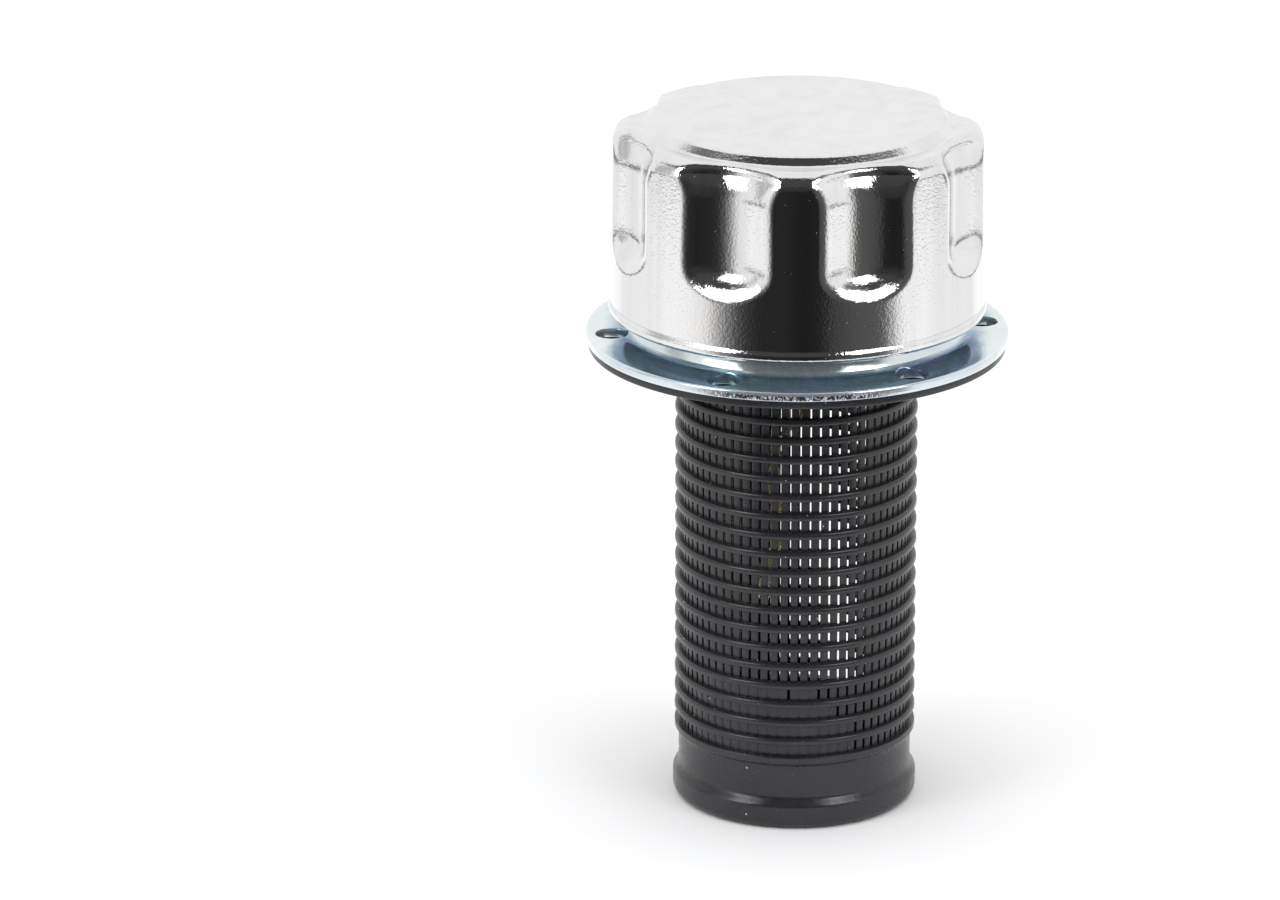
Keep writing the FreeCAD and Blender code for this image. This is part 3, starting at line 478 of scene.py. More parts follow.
def build_cap():
    # columns, closer together at the edges of a flute
    half = 28
    # the flute's edge lies 14 degrees from its centre line
    s = np.linspace(0, 1, 400)
    dens = 1.0 + 2.8 * np.exp(-((s * 22.5 - 14.2) / 1.9) ** 2)
    cum = np.cumsum(dens)
    cum = (cum - cum[0]) / (cum[-1] - cum[0])
    places = np.interp((np.arange(half) + 0.5) / half, cum, s) * 22.5
    period = np.concatenate([-places[::-1], places])
    theta = FLUTE_TURN + np.radians(np.concatenate([22.5 + 45.0 * k + period for k in range(8)]))
    n = len(theta)
    # one ray for each row: start (r, z) and direction
    rays = []
    for r in (6.0, 14.0, 20.0, 24.5, 26.4):
        rays.append((r, 36.0, 0.0, 1.0))
    for r in np.arange(27.2, 30.65, 0.2):
        rays.append((r, 36.0, 0.0, 1.0))
    top = math.degrees(math.atan2(4.0, 30.75 - 27.5))
    for deg in np.linspace(top, 0.0, 36):
        rays.append((27.5, 41.0, math.cos(math.radians(deg)), math.sin(math.radians(deg))))
    z = 41.0
    while z > 12.9:
        step = 0.6
        if z < 36.5:
            step = 1.6
        if z < 28.0:
            step = 0.25
        if z < 17.0:
            step = 0.7
        z -= step
        rays.append((20.0, z, 1.0, 0.0))
    rays = np.array(rays)
    rows = len(rays)
    ct, st = np.cos(theta)[None, :], np.sin(theta)[None, :]
    lo = np.zeros((rows, n))
    hi = np.full((rows, n), 24.0)

    def at(dist):
        rr = rays[:, 0:1] + dist * rays[:, 2:3]
        zz = rays[:, 1:2] + dist * rays[:, 3:4]
        return rr * ct, rr * st, zz + 0.0 * rr

    for _ in range(44):
        mid = 0.5 * (lo + hi)
        inside = cap_field(*at(mid)) < 0
        lo = np.where(inside, mid, lo)
        hi = np.where(inside, hi, mid)
    outer = np.stack(at(0.5 * (lo + hi)), -1)
    normal = cap_normal(outer)

    verts, norms, faces = [], [], []

    def put(points, ns):
        start = len(verts)
        verts.extend(points.tolist())
        norms.extend(ns.tolist())
        return list(range(start, start + len(points)))

    def ring(r, z, nr, nz):
        p = np.stack([r * np.cos(theta), r * np.sin(theta), np.full(n, z)], -1)
        d = math.hypot(nr, nz)
        q = np.stack([nr / d * np.cos(theta), nr / d * np.sin(theta), np.full(n, nz / d)], -1)
        return put(p, q)

    def band(a, b):
        for i in range(n):
            j = (i + 1) % n
            faces.append((a[i], b[i], b[j], a[j]))

    pole = put(np.array([[0.0, 0.0, 46.7]]), np.array([[0.0, 0.0, 1.0]]))[0]
    previous = None
    out_rows = []
    for k in range(rows):
        row = put(outer[k], normal[k])
        out_rows.append(row)
        if previous is None:
            for i in range(n):
                faces.append((pole, row[i], row[(i + 1) % n]))
        else:
            band(previous, row)
        previous = row
    # the rolled hem: a small step out, the fold, and the inner leg
    z_end = rays[-1, 1]
    prof = []
    taper = 0.5 / 36.8

    def skirt(z):
        return 36.7 - taper * (z - 8.2)
    for z in (12.5, 12.0, 11.5, 11.0, 10.5, 10.2):
        prof.append((skirt(z), z))
    for k in range(0, 13):
        t = k / 12
        z = 10.08 - 0.90 * t
        rise = t - 0.30 * math.sin(2 * math.pi * t) / (2 * math.pi)
        prof.append((skirt(z) + 0.40 * rise, z))
    prof.append((37.09, 8.95))
    prof += arc(37.09 - 0.95, 8.60, 0.95, 0, -90, 9)
    prof += arc(34.85, 8.55, 0.9, -90, -180, 7)
    prof += [(33.95, 9.6)]
    prof += arc(34.40, 10.15, 0.45, 180, 0, 6)
    prof += [(34.86, 9.7), (35.0, 9.18), (35.74, 9.16), (35.80, 9.9), (35.78, 12.6)]
    pts = [(skirt(z_end), z_end)] + prof
    for i in range(1, len(pts)):
        a, b = pts[i - 1], pts[min(i + 1, len(pts) - 1)]
        dr, dz = b[0] - a[0], b[1] - a[1]
        row = ring(pts[i][0], pts[i][1], -dz, dr)
        band(previous, row)
        previous = row
    # the inside, one sheet's thickness in
    inner = outer - 0.9 * normal
    picks = [k for k in range(rows) if k % 4 == 0 or (32 <= k <= 58 and k % 2 == 0)]
    picks = sorted(set(picks), reverse=True)
    picks = [k for k in picks if inner[k][0][2] > 12.9]
    for k in picks:
        row = put(inner[k], -normal[k])
        band(previous, row)
        previous = row
    pole_in = put(np.array([[0.0, 0.0, 45.8]]), np.array([[0.0, 0.0, -1.0]]))[0]
    for i in range(n):
        faces.append((pole_in, previous[(i + 1) % n], previous[i]))
    return make_object("cap_shell_pressed", verts, faces, True, norms)


cap = build_cap()
finish_piece(cap, "cap_chrome", "cap", "cap_shell")


# ----------------------------------------------------------------------- flange
BOLT_PHASE = math.radians(-112.9)
N_PLATE = 360


def holed_sheet(shell, radii, height, up, hole_r, n=N_PLATE, half=8, roll=0.42, deep=0.0):
    """A flat ring with six round holes.  Each hole sits in a patch of the
    polar grid; returns the inner row, outer row and the hole rows."""
    rows = shell.spin([(r, height(r)) for r in radii], n, BOLT_PHASE)
    per = n // 6
    k0 = min(i for i, r in enumerate(radii) if r > 32.6)
    k1 = max(i for i, r in enumerate(radii) if r < 40.5)

    def skip_for(k):
        if not k0 <= k < k1:
            return None
        return lambda i: (i + half) % per < 2 * half
    for k, (a, b) in enumerate(zip(rows, rows[1:])):
        if up:
            shell.band(a, b, skip=skip_for(k))
        else:
            shell.band(b, a, skip=skip_for(k))
    holes = []
    for h in range(6):
        c = h * per
        cols = [(c + d) % n for d in range(-half, half + 1)]
        loop = [rows[k0][i] for i in cols]
        loop += [rows[k][cols[-1]] for k in range(k0 + 1, k1 + 1)]
        loop += [rows[k1][i] for i in reversed(cols[:-1])]
        loop += [rows[k][cols[0]] for k in range(k1 - 1, k0, -1)]
        a = BOLT_PHASE + 2 * math.pi * h / 6
        cx, cy = 36.5 * math.cos(a), 36.5 * math.sin(a)
        outline = [shell.verts[i] for i in loop]
        angles = [math.atan2(p[1] - cy, p[0] - cx) for p in outline]
        # even spacing round the hole, in the order of the outline
        count = len(loop)
        start = angles[0]
        turns = [((t - start + math.pi) % (2 * math.pi)) - math.pi for t in angles]
        sign = 1.0 if sum(((angles[(i + 1) % count] - angles[i] + math.pi) % (2 * math.pi)) - math.pi
                          for i in range(count)) > 0 else -1.0
        even = [start + sign * 2 * math.pi * i / count for i in range(count)]
        mixed = []
        for i in range(count):
            d = ((angles[i] - even[i] + math.pi) % (2 * math.pi)) - math.pi
            mixed.append(even[i] + 0.75 * d)
        previous = loop
        order = 1 if up else -1
        steps = 4
        for s in range(1, steps + 1):
            t = s / steps
            pts = []
            for i in range(count):
                ex, ey = cx + (hole_r + roll) * math.cos(mixed[i]), cy + (hole_r + roll) * math.sin(mixed[i])
                x = outline[i][0] + (ex - outline[i][0]) * t
                y = outline[i][1] + (ey - outline[i][1]) * t
                pts.append((x, y, height(math.hypot(x, y))))
            row = shell.add(pts)
            for i in range(count):
                j = (i + 1) % count
                f = (previous[i], previous[j], row[j], row[i])
                shell.faces.append(f if order > 0 else tuple(reversed(f)))
            previous = row
        # the rolled-over edge of the hole
        for q in range(1, 6):
            ang = math.pi / 2 * q / 5
            rr = hole_r + roll - roll * math.sin(ang)
            dz = (roll - roll * math.cos(ang)) * (-1 if up else 1)
            pts = []
            for i in range(count):
                x, y = cx + rr * math.cos(mixed[i]), cy + rr * math.sin(mixed[i])
                pts.append((x, y, height(math.hypot(x, y)) + dz))
            row = shell.add(pts)
            for i in range(count):
                j = (i + 1) % count
                f = (previous[i], previous[j], row[j], row[i])
                shell.faces.append(f if order > 0 else tuple(reversed(f)))
            previous = row
        holes.append(previous)
    return rows[0], rows[-1], holes


def join_holes(shell, upper, lower):
    for a, b in zip(upper, lower):
        count = len(a)
        for i in range(count):
            j = (i + 1) % count
            shell.faces.append((a[i], a[j], b[j], b[i]))


def mouth_radius(theta):
    """Filler opening with its two bayonet notches on the X axis."""
    a = abs(math.remainder(theta, math.pi))
    if a < math.asin(6.0 / 22.8):
        return 22.8
    if a < math.asin(6.0 / 18.5):
        return 6.0 / math.sin(a)
    return 18.5


def build_flange():
    s = Shell()

    def top(r):
        if r >= 34.3:
            return 3.4
        if r >= 33.38:
            return 4.7 - math.sqrt(1.3 ** 2 - (34.3 - r) ** 2)
        return 3.781 + 33.38 - r

    def under(r):
        if r >= 31.4:
            return 1.6
        return 1.6 + 1.2 - math.sqrt(max(1.2 ** 2 - (31.4 - r) ** 2, 0.0))

    plate = [32.75, 33.38, 33.8, 34.6, 35.4, 36.2, 37.0, 37.8, 38.6, 39.4, 40.2, 40.7, 41.0]
    in_top, out_top, holes_top = holed_sheet(s, plate, top, True, 3.2, roll=0.22)
    plate_low = [31.4, 32.7, 33.2, 33.8, 34.6, 35.4, 36.2, 37.0, 37.8, 38.6, 39.4, 40.2, 40.8, 41.2]
    in_low, out_low, holes_low = holed_sheet(s, plate_low, under, False, 3.2, roll=0.12)
    join_holes(s, holes_top, holes_low)
    # outer edge: rolled over above, sheared below
    previous = out_top
    edge = arc(41.0, 2.9, 0.5, 90, 0, 6)[1:] + [(41.5, 2.55), (41.46, 2.2), (41.43, 1.85), (41.36, 1.68)]
    for r, z in edge:
        row = s.spin([(r, z)], N_PLATE, BOLT_PHASE)[0]
        s.band(previous, row)
        previous = row
    s.band(previous, out_low)
    # collar, from the plate up and in to the mouth
    previous = in_top
    wall = [(32.68, 4.52), (32.45, 5.05), (32.24, 5.55), (32.06, 6.05), (31.98, 6.60)] + arc(30.2, 7.6, 1.8, 0, 90, 9)
    for r, z in wall:
        row = s.spin([(r, z)], N_PLATE, BOLT_PHASE)[0]
        s.band(row, previous)
        previous = row

    def stop_press(x, y):
        depth = 0.0
        for deg in (-80.0, 100.0, 21.0, 201.0):
            a = math.radians(deg)
            d = math.hypot(x - 20.8 * math.cos(a), y - 20.8 * math.sin(a))
            depth = max(depth, 1.0 - float(smoothstep(0.5, 1.75, d)))
        return depth

    def lip_row(t, z, pull=0.0, press=0.0):
        pts = []
        for i in range(N_PLATE):
            th = BOLT_PHASE + 2 * math.pi * i / N_PLATE
            r = mouth_radius(th)
            r = r + (30.0 - r) * t + pull
            x, y = r * math.cos(th), r * math.sin(th)
            pts.append((x, y, z - (press * stop_press(x, y) if press else 0.0)))
        return s.add(pts)
    for t in (0.75, 0.62, 0.52, 0.46, 0.41, 0.37, 0.33, 0.29, 0.25, 0.21, 0.17, 0.13, 0.09, 0.05):
        row = lip_row(t, 9.4, press=1.0)
        s.band(row, previous)
        previous = row
    for q in range(0, 5):
        a = math.pi / 2 * q / 4
        row = lip_row(0.0, 9.4 - 0.35 * (1 - math.cos(a)), pull=0.35 * (1 - math.sin(a)), press=0.8)
        s.band(row, previous)
        previous = row
    for z, pull in ((7.75, 0.0), (7.6, 0.15)):
        row = lip_row(0.0, z, pull=pull, press=0.8)
        s.band(row, previous)
        previous = row
    for t in (0.05, 0.09, 0.13, 0.17, 0.21, 0.25, 0.29, 0.33, 0.37, 0.41, 0.46, 0.55, 0.75):
        row = lip_row(t, 7.6, press=1.4)
        s.band(row, previous)
        previous = row
    inside = arc(29.7, 7.1, 0.5, 90, 0, 4) + [(30.2, 3.4)] + \
        [(31.4 - 1.2 * math.sin(t), 2.8 - 1.2 * math.cos(t)) for t in np.linspace(math.pi / 2, 0, 6)[:-1]]
    for r, z in inside:
        row = s.spin([(r, z)], N_PLATE, BOLT_PHASE)[0]
        s.band(row, previous)
        previous = row
    s.band(in_low, previous)
    obj = make_object("bayonet_flange_plated", s.verts, s.faces)
    sharpen(obj, 40)
    return obj


flange = build_flange()
finish_piece(flange, "blue_zinc", "root", "bayonet_flange")


# ----------------------------------------------------------------------- basket
RING_TOP = -7.9
PITCH = 3.889
BORE, BAR, RING, NECK = 21.9, 22.7, 23.9, 24.4
SLOT_PHASE = math.radians(-90.0 + 1.7)


def build_basket():
    s = Shell()
    # rim and neck
    n = N_PLATE

    def top(r):
        return 1.6

    def under(r):
        return 0.0
    radii = [BORE + 0.25, 24.0, 28.0, 31.0, 33.0, 33.8, 34.6, 35.4, 36.2, 37.0, 37.8, 38.6, 39.4, 40.2, 40.7]
    in_top, out_top, holes_top = holed_sheet(s, radii, top, True, 3.2, roll=0.12)
    radii = [NECK + 0.5, 28.0, 31.0, 33.0, 33.8, 34.6, 35.4, 36.2, 37.0, 37.8, 38.6, 39.4, 40.2, 40.65]
    in_low, out_low, holes_low = holed_sheet(s, radii, under, False, 3.2, roll=0.12)
    join_holes(s, holes_top, holes_low)
    previous = out_top
    for r, z in arc(40.75, 1.35, 0.25, 90, 0, 3)[1:] + [(41.0, 0.8)] + arc(40.65, 0.35, 0.35, 0, -90, 4)[:-1]:
        row = s.spin([(r, z)], n, BOLT_PHASE)[0]
        s.band(previous, row)
        previous = row
    s.band(previous, out_low)
    previous = in_low
    foot_of_neck = -(7.9 - PITCH + 1.4)
    neck = arc(NECK + 0.5, -0.5, 0.5, 90, 180, 4)[1:] + \
        [(NECK, -4.6), (NECK - 0.06, -4.8), (RING - 0.16, foot_of_neck + 0.06), (RING - 0.24, foot_of_neck),
         (BORE + 0.05, foot_of_neck), (BORE, foot_of_neck + 0.1), (BORE, 1.35), (BORE + 0.07, 1.53)]
    for r, z in neck:
        row = s.spin([(r, z)], n, BOLT_PHASE)[0]
        s.band(row, previous)
        previous = row
    s.band(in_top, previous)

    # hoops: rounded outer edges
    e = 0.2
    for k in range(18):
        zt = RING_TOP - PITCH * k
        zb = zt - 1.4
        prof = [(22.62, zb + 0.05)]
        prof += [(22.66, zb)]
        prof += arc(RING - 0.35, zb + 0.35, 0.35, -90, 0, 4)
        prof += [(RING + 0.01, zb + 0.58)]
        prof += arc(RING - 0.6, zt - 0.6, 0.6, 0, 90, 6)
        prof += [(22.66, zt), (22.62, zt - 0.05)]
        s.turned(prof, 144)

    # foot: bead, waist, flare and closed floor
    zt = RING_TOP - PITCH * 18
    prof = [(22.66, zt)] + arc(RING - e, zt - e, e, 90, 0, 3) + [(RING, -78.7)]
    for t in np.linspace(0.0, 1.0, 8):
        w = 0.5 - 0.5 * math.cos(math.pi * t)
        prof.append((RING - (RING - 23.1) * w, -78.95 - 1.35 * t))
    prof += [(23.08, -82.0), (23.06, -84.2), (23.08, -86.0)]
    for t in np.linspace(0.0, 1.0, 15)[1:]:
        w = 0.5 - 0.5 * math.cos(math.pi * t)
        prof.append((23.1 + 1.1 * w, -86.35 - 2.25 * t))
    prof += [(24.22, -89.4), (24.2, -90.4)]
    prof += arc(22.2, -91.1, 2.0, 0, -90, 10)
    prof += [(20.4, -93.1)] + arc(19.75, -92.95, 0.15, -90, -180, 2) + [(19.1, -92.5), (12.0, -92.5), (4.0, -92.5)]
    rows = s.spin(prof, 180)
    for a, b in zip(rows, rows[1:]):
        s.band(a, b)
    tip = s.add([(0, 0, -92.5)])[0]
    s.fan(rows[-1], tip, flip=True)
    inner = [(4.0, -91.0), (12.0, -91.0), (BORE - 0.6, -91.0), (BORE - 0.18, -90.82), (BORE, -90.4), (BORE, zt - 0.1),
             (BORE + 0.08, zt)]
    rows_in = s.spin(inner, 180)
    for a, b in zip(rows_in, rows_in[1:]):
        s.band(a, b)
    tip = s.add([(0, 0, -91.0)])[0]
    s.fan(rows_in[0], tip)
    s.band(rows_in[-1], rows[0])
    basket = make_object("strainer_basket_moulded", s.verts, s.faces)
    sharpen(basket, 42)

    # upright bars between the slots
    b = Shell()
    z0, z1 = foot_of_neck + 0.4, zt - 0.5
    slot_half, slot_inner = 0.27, 0.44
    for k in range(72):
        a0 = SLOT_PHASE + 2 * math.pi * (k + 0.5) / 72

        def half(r, slot):
            return math.pi / 72 - math.asin(slot / r)
        c = 0.07
        side = [(BORE, half(BORE, slot_inner + 0.06)), (BORE + 0.05, half(BORE, slot_inner)),
                (22.4, half(22.4, slot_half)), (BAR - c, half(BAR, slot_half)),
                (BAR - 0.3 * c, half(BAR, slot_half + 0.3 * c)), (BAR, half(BAR, slot_half + c))]
        sect = side + [(BAR + 0.012, 0.3 * side[-1][1]), (BAR + 0.012, -0.3 * side[-1][1])]
        sect += [(r, -t) for r, t in reversed(side)]
        rows = []
        for z in (z0, z1):
            rows.append(b.add([(r * math.cos(a0 + t), r * math.sin(a0 + t), z) for r, t in sect]))
        b.band(rows[1], rows[0])
        b.faces.append(tuple(reversed(rows[1])))
        b.faces.append(tuple(rows[0]))
    # thin flash left by the mould closes some of the lowest windows, on the
    # left of the front
    reach = {15: 812.0, 16: 836.0, 17: 850.0, 18: 853.0}
    for row, limit in reach.items():
        zc_top = RING_TOP - PITCH * row + 2.489
        zc_low = RING_TOP - PITCH * row
        for k in range(72):
            a = SLOT_PHASE + 2 * math.pi * k / 72
            deg = math.degrees(a) + 90.0
            deg = (deg + 180.0) % 360.0 - 180.0
            x_px = 797.0 + 5.1 * 22.7 * math.sin(math.radians(deg))
            if abs(deg) > 62 or x_px > limit:
                continue
            if row == 15 and rnd.random() < 0.12:
                continue
            r0, r1 = 22.42, 22.60 - 0.03 * rnd.random()
            h = 0.30 / 22.3
            pts = []
            for z in (zc_low - 0.1, zc_top + 0.1):
                for r, t in ((r0, -h), (r1, -h), (r1, h), (r0, h)):
                    pts.append((r * math.cos(a + t), r * math.sin(a + t), z))
            i = b.add(pts)
            for f in ((0, 3, 2, 1), (4, 5, 6, 7), (0, 1, 5, 4), (1, 2, 6, 5), (2, 3, 7, 6), (3, 0, 4, 7)):
                b.faces.append(tuple(i[j] for j in f))
    bars = make_object("strainer_basket_bars", b.verts, b.faces)
    sharpen(bars, 35)
    return basket, bars


basket, bars = build_basket()
finish_piece(basket, "basket_plastic", "root", "strainer_basket")
finish_piece(bars, "basket_plastic", "root", "strainer_basket")


# ------------------------------------------------------------- pleated filter
def build_paper():
    s = Shell()
    pleats, thick = 64, 0.22
    r_in, r_out = 17.95 + thick, 28.2 - thick
    per = 10
    line = []
    for i in range(pleats * per):
        t = (i % per) / per
        w = 0.5 - 0.5 * math.cos(2 * math.pi * t)
        w = 0.5 + 0.5 * math.tanh(3.2 * (w - 0.5)) / math.tanh(1.6)
        r = r_in + (r_out - r_in) * w
        line.append((r, 2 * math.pi * i / (pleats * per)))
    n = len(line)
    pts = np.array([(r * math.cos(a), r * math.sin(a)) for r, a in line])
    tang = np.roll(pts, -1, 0) - np.roll(pts, 1, 0)
    tang /= np.linalg.norm(tang, axis=1)[:, None]
    side = np.stack([tang[:, 1], -tang[:, 0]], 1)
    out, inn = pts + side * thick, pts - side * thick
    z = (13.85, 20.8, 27.7, 34.6, 41.55)
    outs = [s.add([(p[0], p[1], h) for p in out]) for h in z]
    inns = [s.add([(p[0], p[1], h) for p in inn]) for h in z]
    for a, b in zip(outs, outs[1:]):
        s.band(a, b)
    for a, b in zip(inns, inns[1:]):
        s.band(b, a)
    s.band(outs[-1], inns[-1])
    s.band(inns[0], outs[0])
    obj = make_object("filter_paper_pleated", s.verts, s.faces)
    sharpen(obj, 60)
    return obj


finish_piece(build_paper(), "filter_paper", "cap", "filter_paper")


# ------------------------------------------------------------------- felt ring
def build_felt():
    s = Shell()
    n = 180
    prof = [(17.3, 42.5), (17.25, 44.0), (17.4, 45.3), (17.8, 45.62)]
    prof += [(20.0, 45.66), (23.5, 45.66), (26.4, 45.62), (27.05, 45.25), (27.2, 44.0), (27.1, 42.6), (26.7, 42.25),
             (22.0, 42.22), (17.7, 42.24)]
    rows = []
    for q, (r, z) in enumerate(prof):
        pts = []
        for i in range(n):
            a = 2 * math.pi * i / n
            w = 0.05 * math.sin(7 * a + q) + 0.04 * math.sin(17 * a + 2.1 * q) + 0.03 * (rnd.random() - 0.5)
            zz = min(max(z + 0.4 * w * (1 if z < 44 else -1), 42.21), 45.69)
            pts.append(((r + w * (1 if r > 22 else -1) * 0.6) * math.cos(a),
                        (r + w * (1 if r > 22 else -1) * 0.6) * math.sin(a), zz))
        rows.append(s.add(pts))
    for a, b in zip(rows, rows[1:] + rows[:1]):
        s.band(b, a)
    return make_object("felt_ring_pressed", s.verts, s.faces)


finish_piece(build_felt(), "felt", "cap", "felt_ring")


# ----------------------------------------------------------------- lock spring
def build_spring():
    """Round wire, five turns and a bit, the end turns closed up."""
    s = Shell()
    mean, wire = 6.6, 0.6
    low, high = -3.2 + wire, 6.1 - wire
    turns, per, ring = 6.2, 40, 12
    count = int(turns * per)
    height = []
    for i in range(count + 1):
        t = i / per
        # the first and last turn rise only by the wire's own thickness
        lead = 1.22
        if t < 0.85:
            h = lead * (t / 0.85) * 0.85
        elif t > turns - 0.85:
            h = None
        else:
            h = -1.0
        height.append(h)
    span = high - low
    mid_turns = turns - 1.7
    rate = (span - 2 * 1.22 * 0.85) / mid_turns
    path = []
    for i in range(count + 1):
        t = i / per
        if t < 0.85:
            z = low + 1.22 * t
        elif t > turns - 0.85:
            z = high - 1.22 * (turns - t)
        else:
            z = low + 1.22 * 0.85 + rate * (t - 0.85)
        a = 2 * math.pi * t
        path.append(np.array([mean * math.cos(a), mean * math.sin(a), z]))
    rows = []
    for i, p in enumerate(path):
        q = path[min(i + 1, count)] - path[max(i - 1, 0)]
        q = q / np.linalg.norm(q)
        out = np.array([p[0], p[1], 0.0])
        out /= np.linalg.norm(out)
        up = np.cross(q, out)
        up /= np.linalg.norm(up)
        rows.append(s.add([tuple(p + wire * 0.98 * (out * math.cos(2 * math.pi * k / ring) +
                                                    up * math.sin(2 * math.pi * k / ring)))
                           for k in range(ring)]))
    for a, b in zip(rows, rows[1:]):
        s.band(b, a)
    s.faces.append(tuple(rows[0]))
    s.faces.append(tuple(reversed(rows[-1])))
    obj = make_object("lock_spring_wound", s.verts, s.faces)
    sharpen(obj, 50)
    return obj


spring = build_spring()
finish_piece(spring, "spring_steel", "cap", "lock_spring")
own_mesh(spring)


# -------------------------------------------- pieces that keep their CAD shape
KEEP = {
    "closing_plate": "plain_zinc", "filter_lower_disc": "plain_zinc", "filter_upper_disc": "plain_zinc",
    "filter_core": "plain_zinc", "cap_gasket": "gasket_rubber", "locking_plate": "plain_zinc",
    "spring_washer": "plain_zinc", "spacer_sleeve": "plain_zinc", "rivet_washer": "plain_zinc",
    "centre_rivet": "plain_zinc", "swivel_bush": "chain_brass", "chain_swivel": "chain_brass",
    "chain_links": "chain_brass", "retaining_bar": "chain_brass",
}
for name, slot in KEEP.items():
    obj = nodes[name]
    if not obj.data.materials:
        obj.data.materials.append(MATS[slot])
    for i in range(len(obj.material_slots)):
        obj.material_slots[i].material = MATS[slot]


# ------------------------------------------------------------------- the stage
FLOOR_Z = -93.1 / MM


def stage_mat(name, colour, rough=0.6, emit=None):
    mat = bpy.data.materials.new(name)
    mat.use_nodes = True
    bsdf = mat.node_tree.nodes["Principled BSDF"]
    bsdf.inputs["Base Color"].default_value = (*colour, 1.0)
    bsdf.inputs["Roughness"].default_value = rough
    bsdf.inputs["Specular IOR Level"].default_value = 0.0
    if emit is not None:
        bsdf.inputs["Emission Color"].default_value = (*emit, 1.0)
        bsdf.inputs["Emission Strength"].default_value = 1.0
    return mat


def stage_object(name, verts, faces, mat):
    mesh = bpy.data.meshes.new(name)
    mesh.from_pydata(verts, [], faces)
    mesh.update()
    obj = bpy.data.objects.new(name, mesh)
    scene.collection.objects.link(obj)
    obj.data.materials.append(mat)
    return obj


stage_object("floor", [(-9, -9, FLOOR_Z), (9, -9, FLOOR_Z), (9, 9, FLOOR_Z), (-9, 9, FLOOR_Z)],
             [(0, 1, 2, 3)], stage_mat("floor_paper", (0.95, 0.95, 0.95), 0.8))


def glossy_only(obj):
    obj.visible_camera = False
    obj.visible_diffuse = False
    obj.visible_transmission = False
    obj.visible_volume_scatter = False
    obj.visible_shadow = False
    return obj


def sector(name, centre_deg, half_deg, r0, r1, z, mat, n=48):
    """A flat card on the floor, a sector of a ring."""
    verts, faces = [], []
    for i in range(n + 1):
        a = math.radians(centre_deg - half_deg + 2 * half_deg * i / n)
        verts += [(r0 * math.cos(a), r0 * math.sin(a), z), (r1 * math.cos(a), r1 * math.sin(a), z)]
    for i in range(n):
        k = 2 * i
        faces.append((k, k + 1, k + 3, k + 2))
    return glossy_only(stage_object(name, verts, faces, mat))


def dome(name, centre_deg, half_deg, rad, e0, e1, mat, n=48, m=16, base=0.0):
    """A curved standing card, part of a sphere about the object."""
    verts, faces = [], []
    for j in range(m + 1):
        e = math.radians(e0 + (e1 - e0) * j / m)
        for i in range(n + 1):
            a = math.radians(centre_deg - half_deg + 2 * half_deg * i / n)
            verts.append((rad * math.cos(e) * math.cos(a), rad * math.cos(e) * math.sin(a),
                          base + rad * math.sin(e)))
    for j in range(m):
        for i in range(n):
            k = j * (n + 1) + i
            faces.append((k, k + 1, k + n + 2, k + n + 1))
    return glossy_only(stage_object(name, verts, faces, mat))


WALL = 0.98


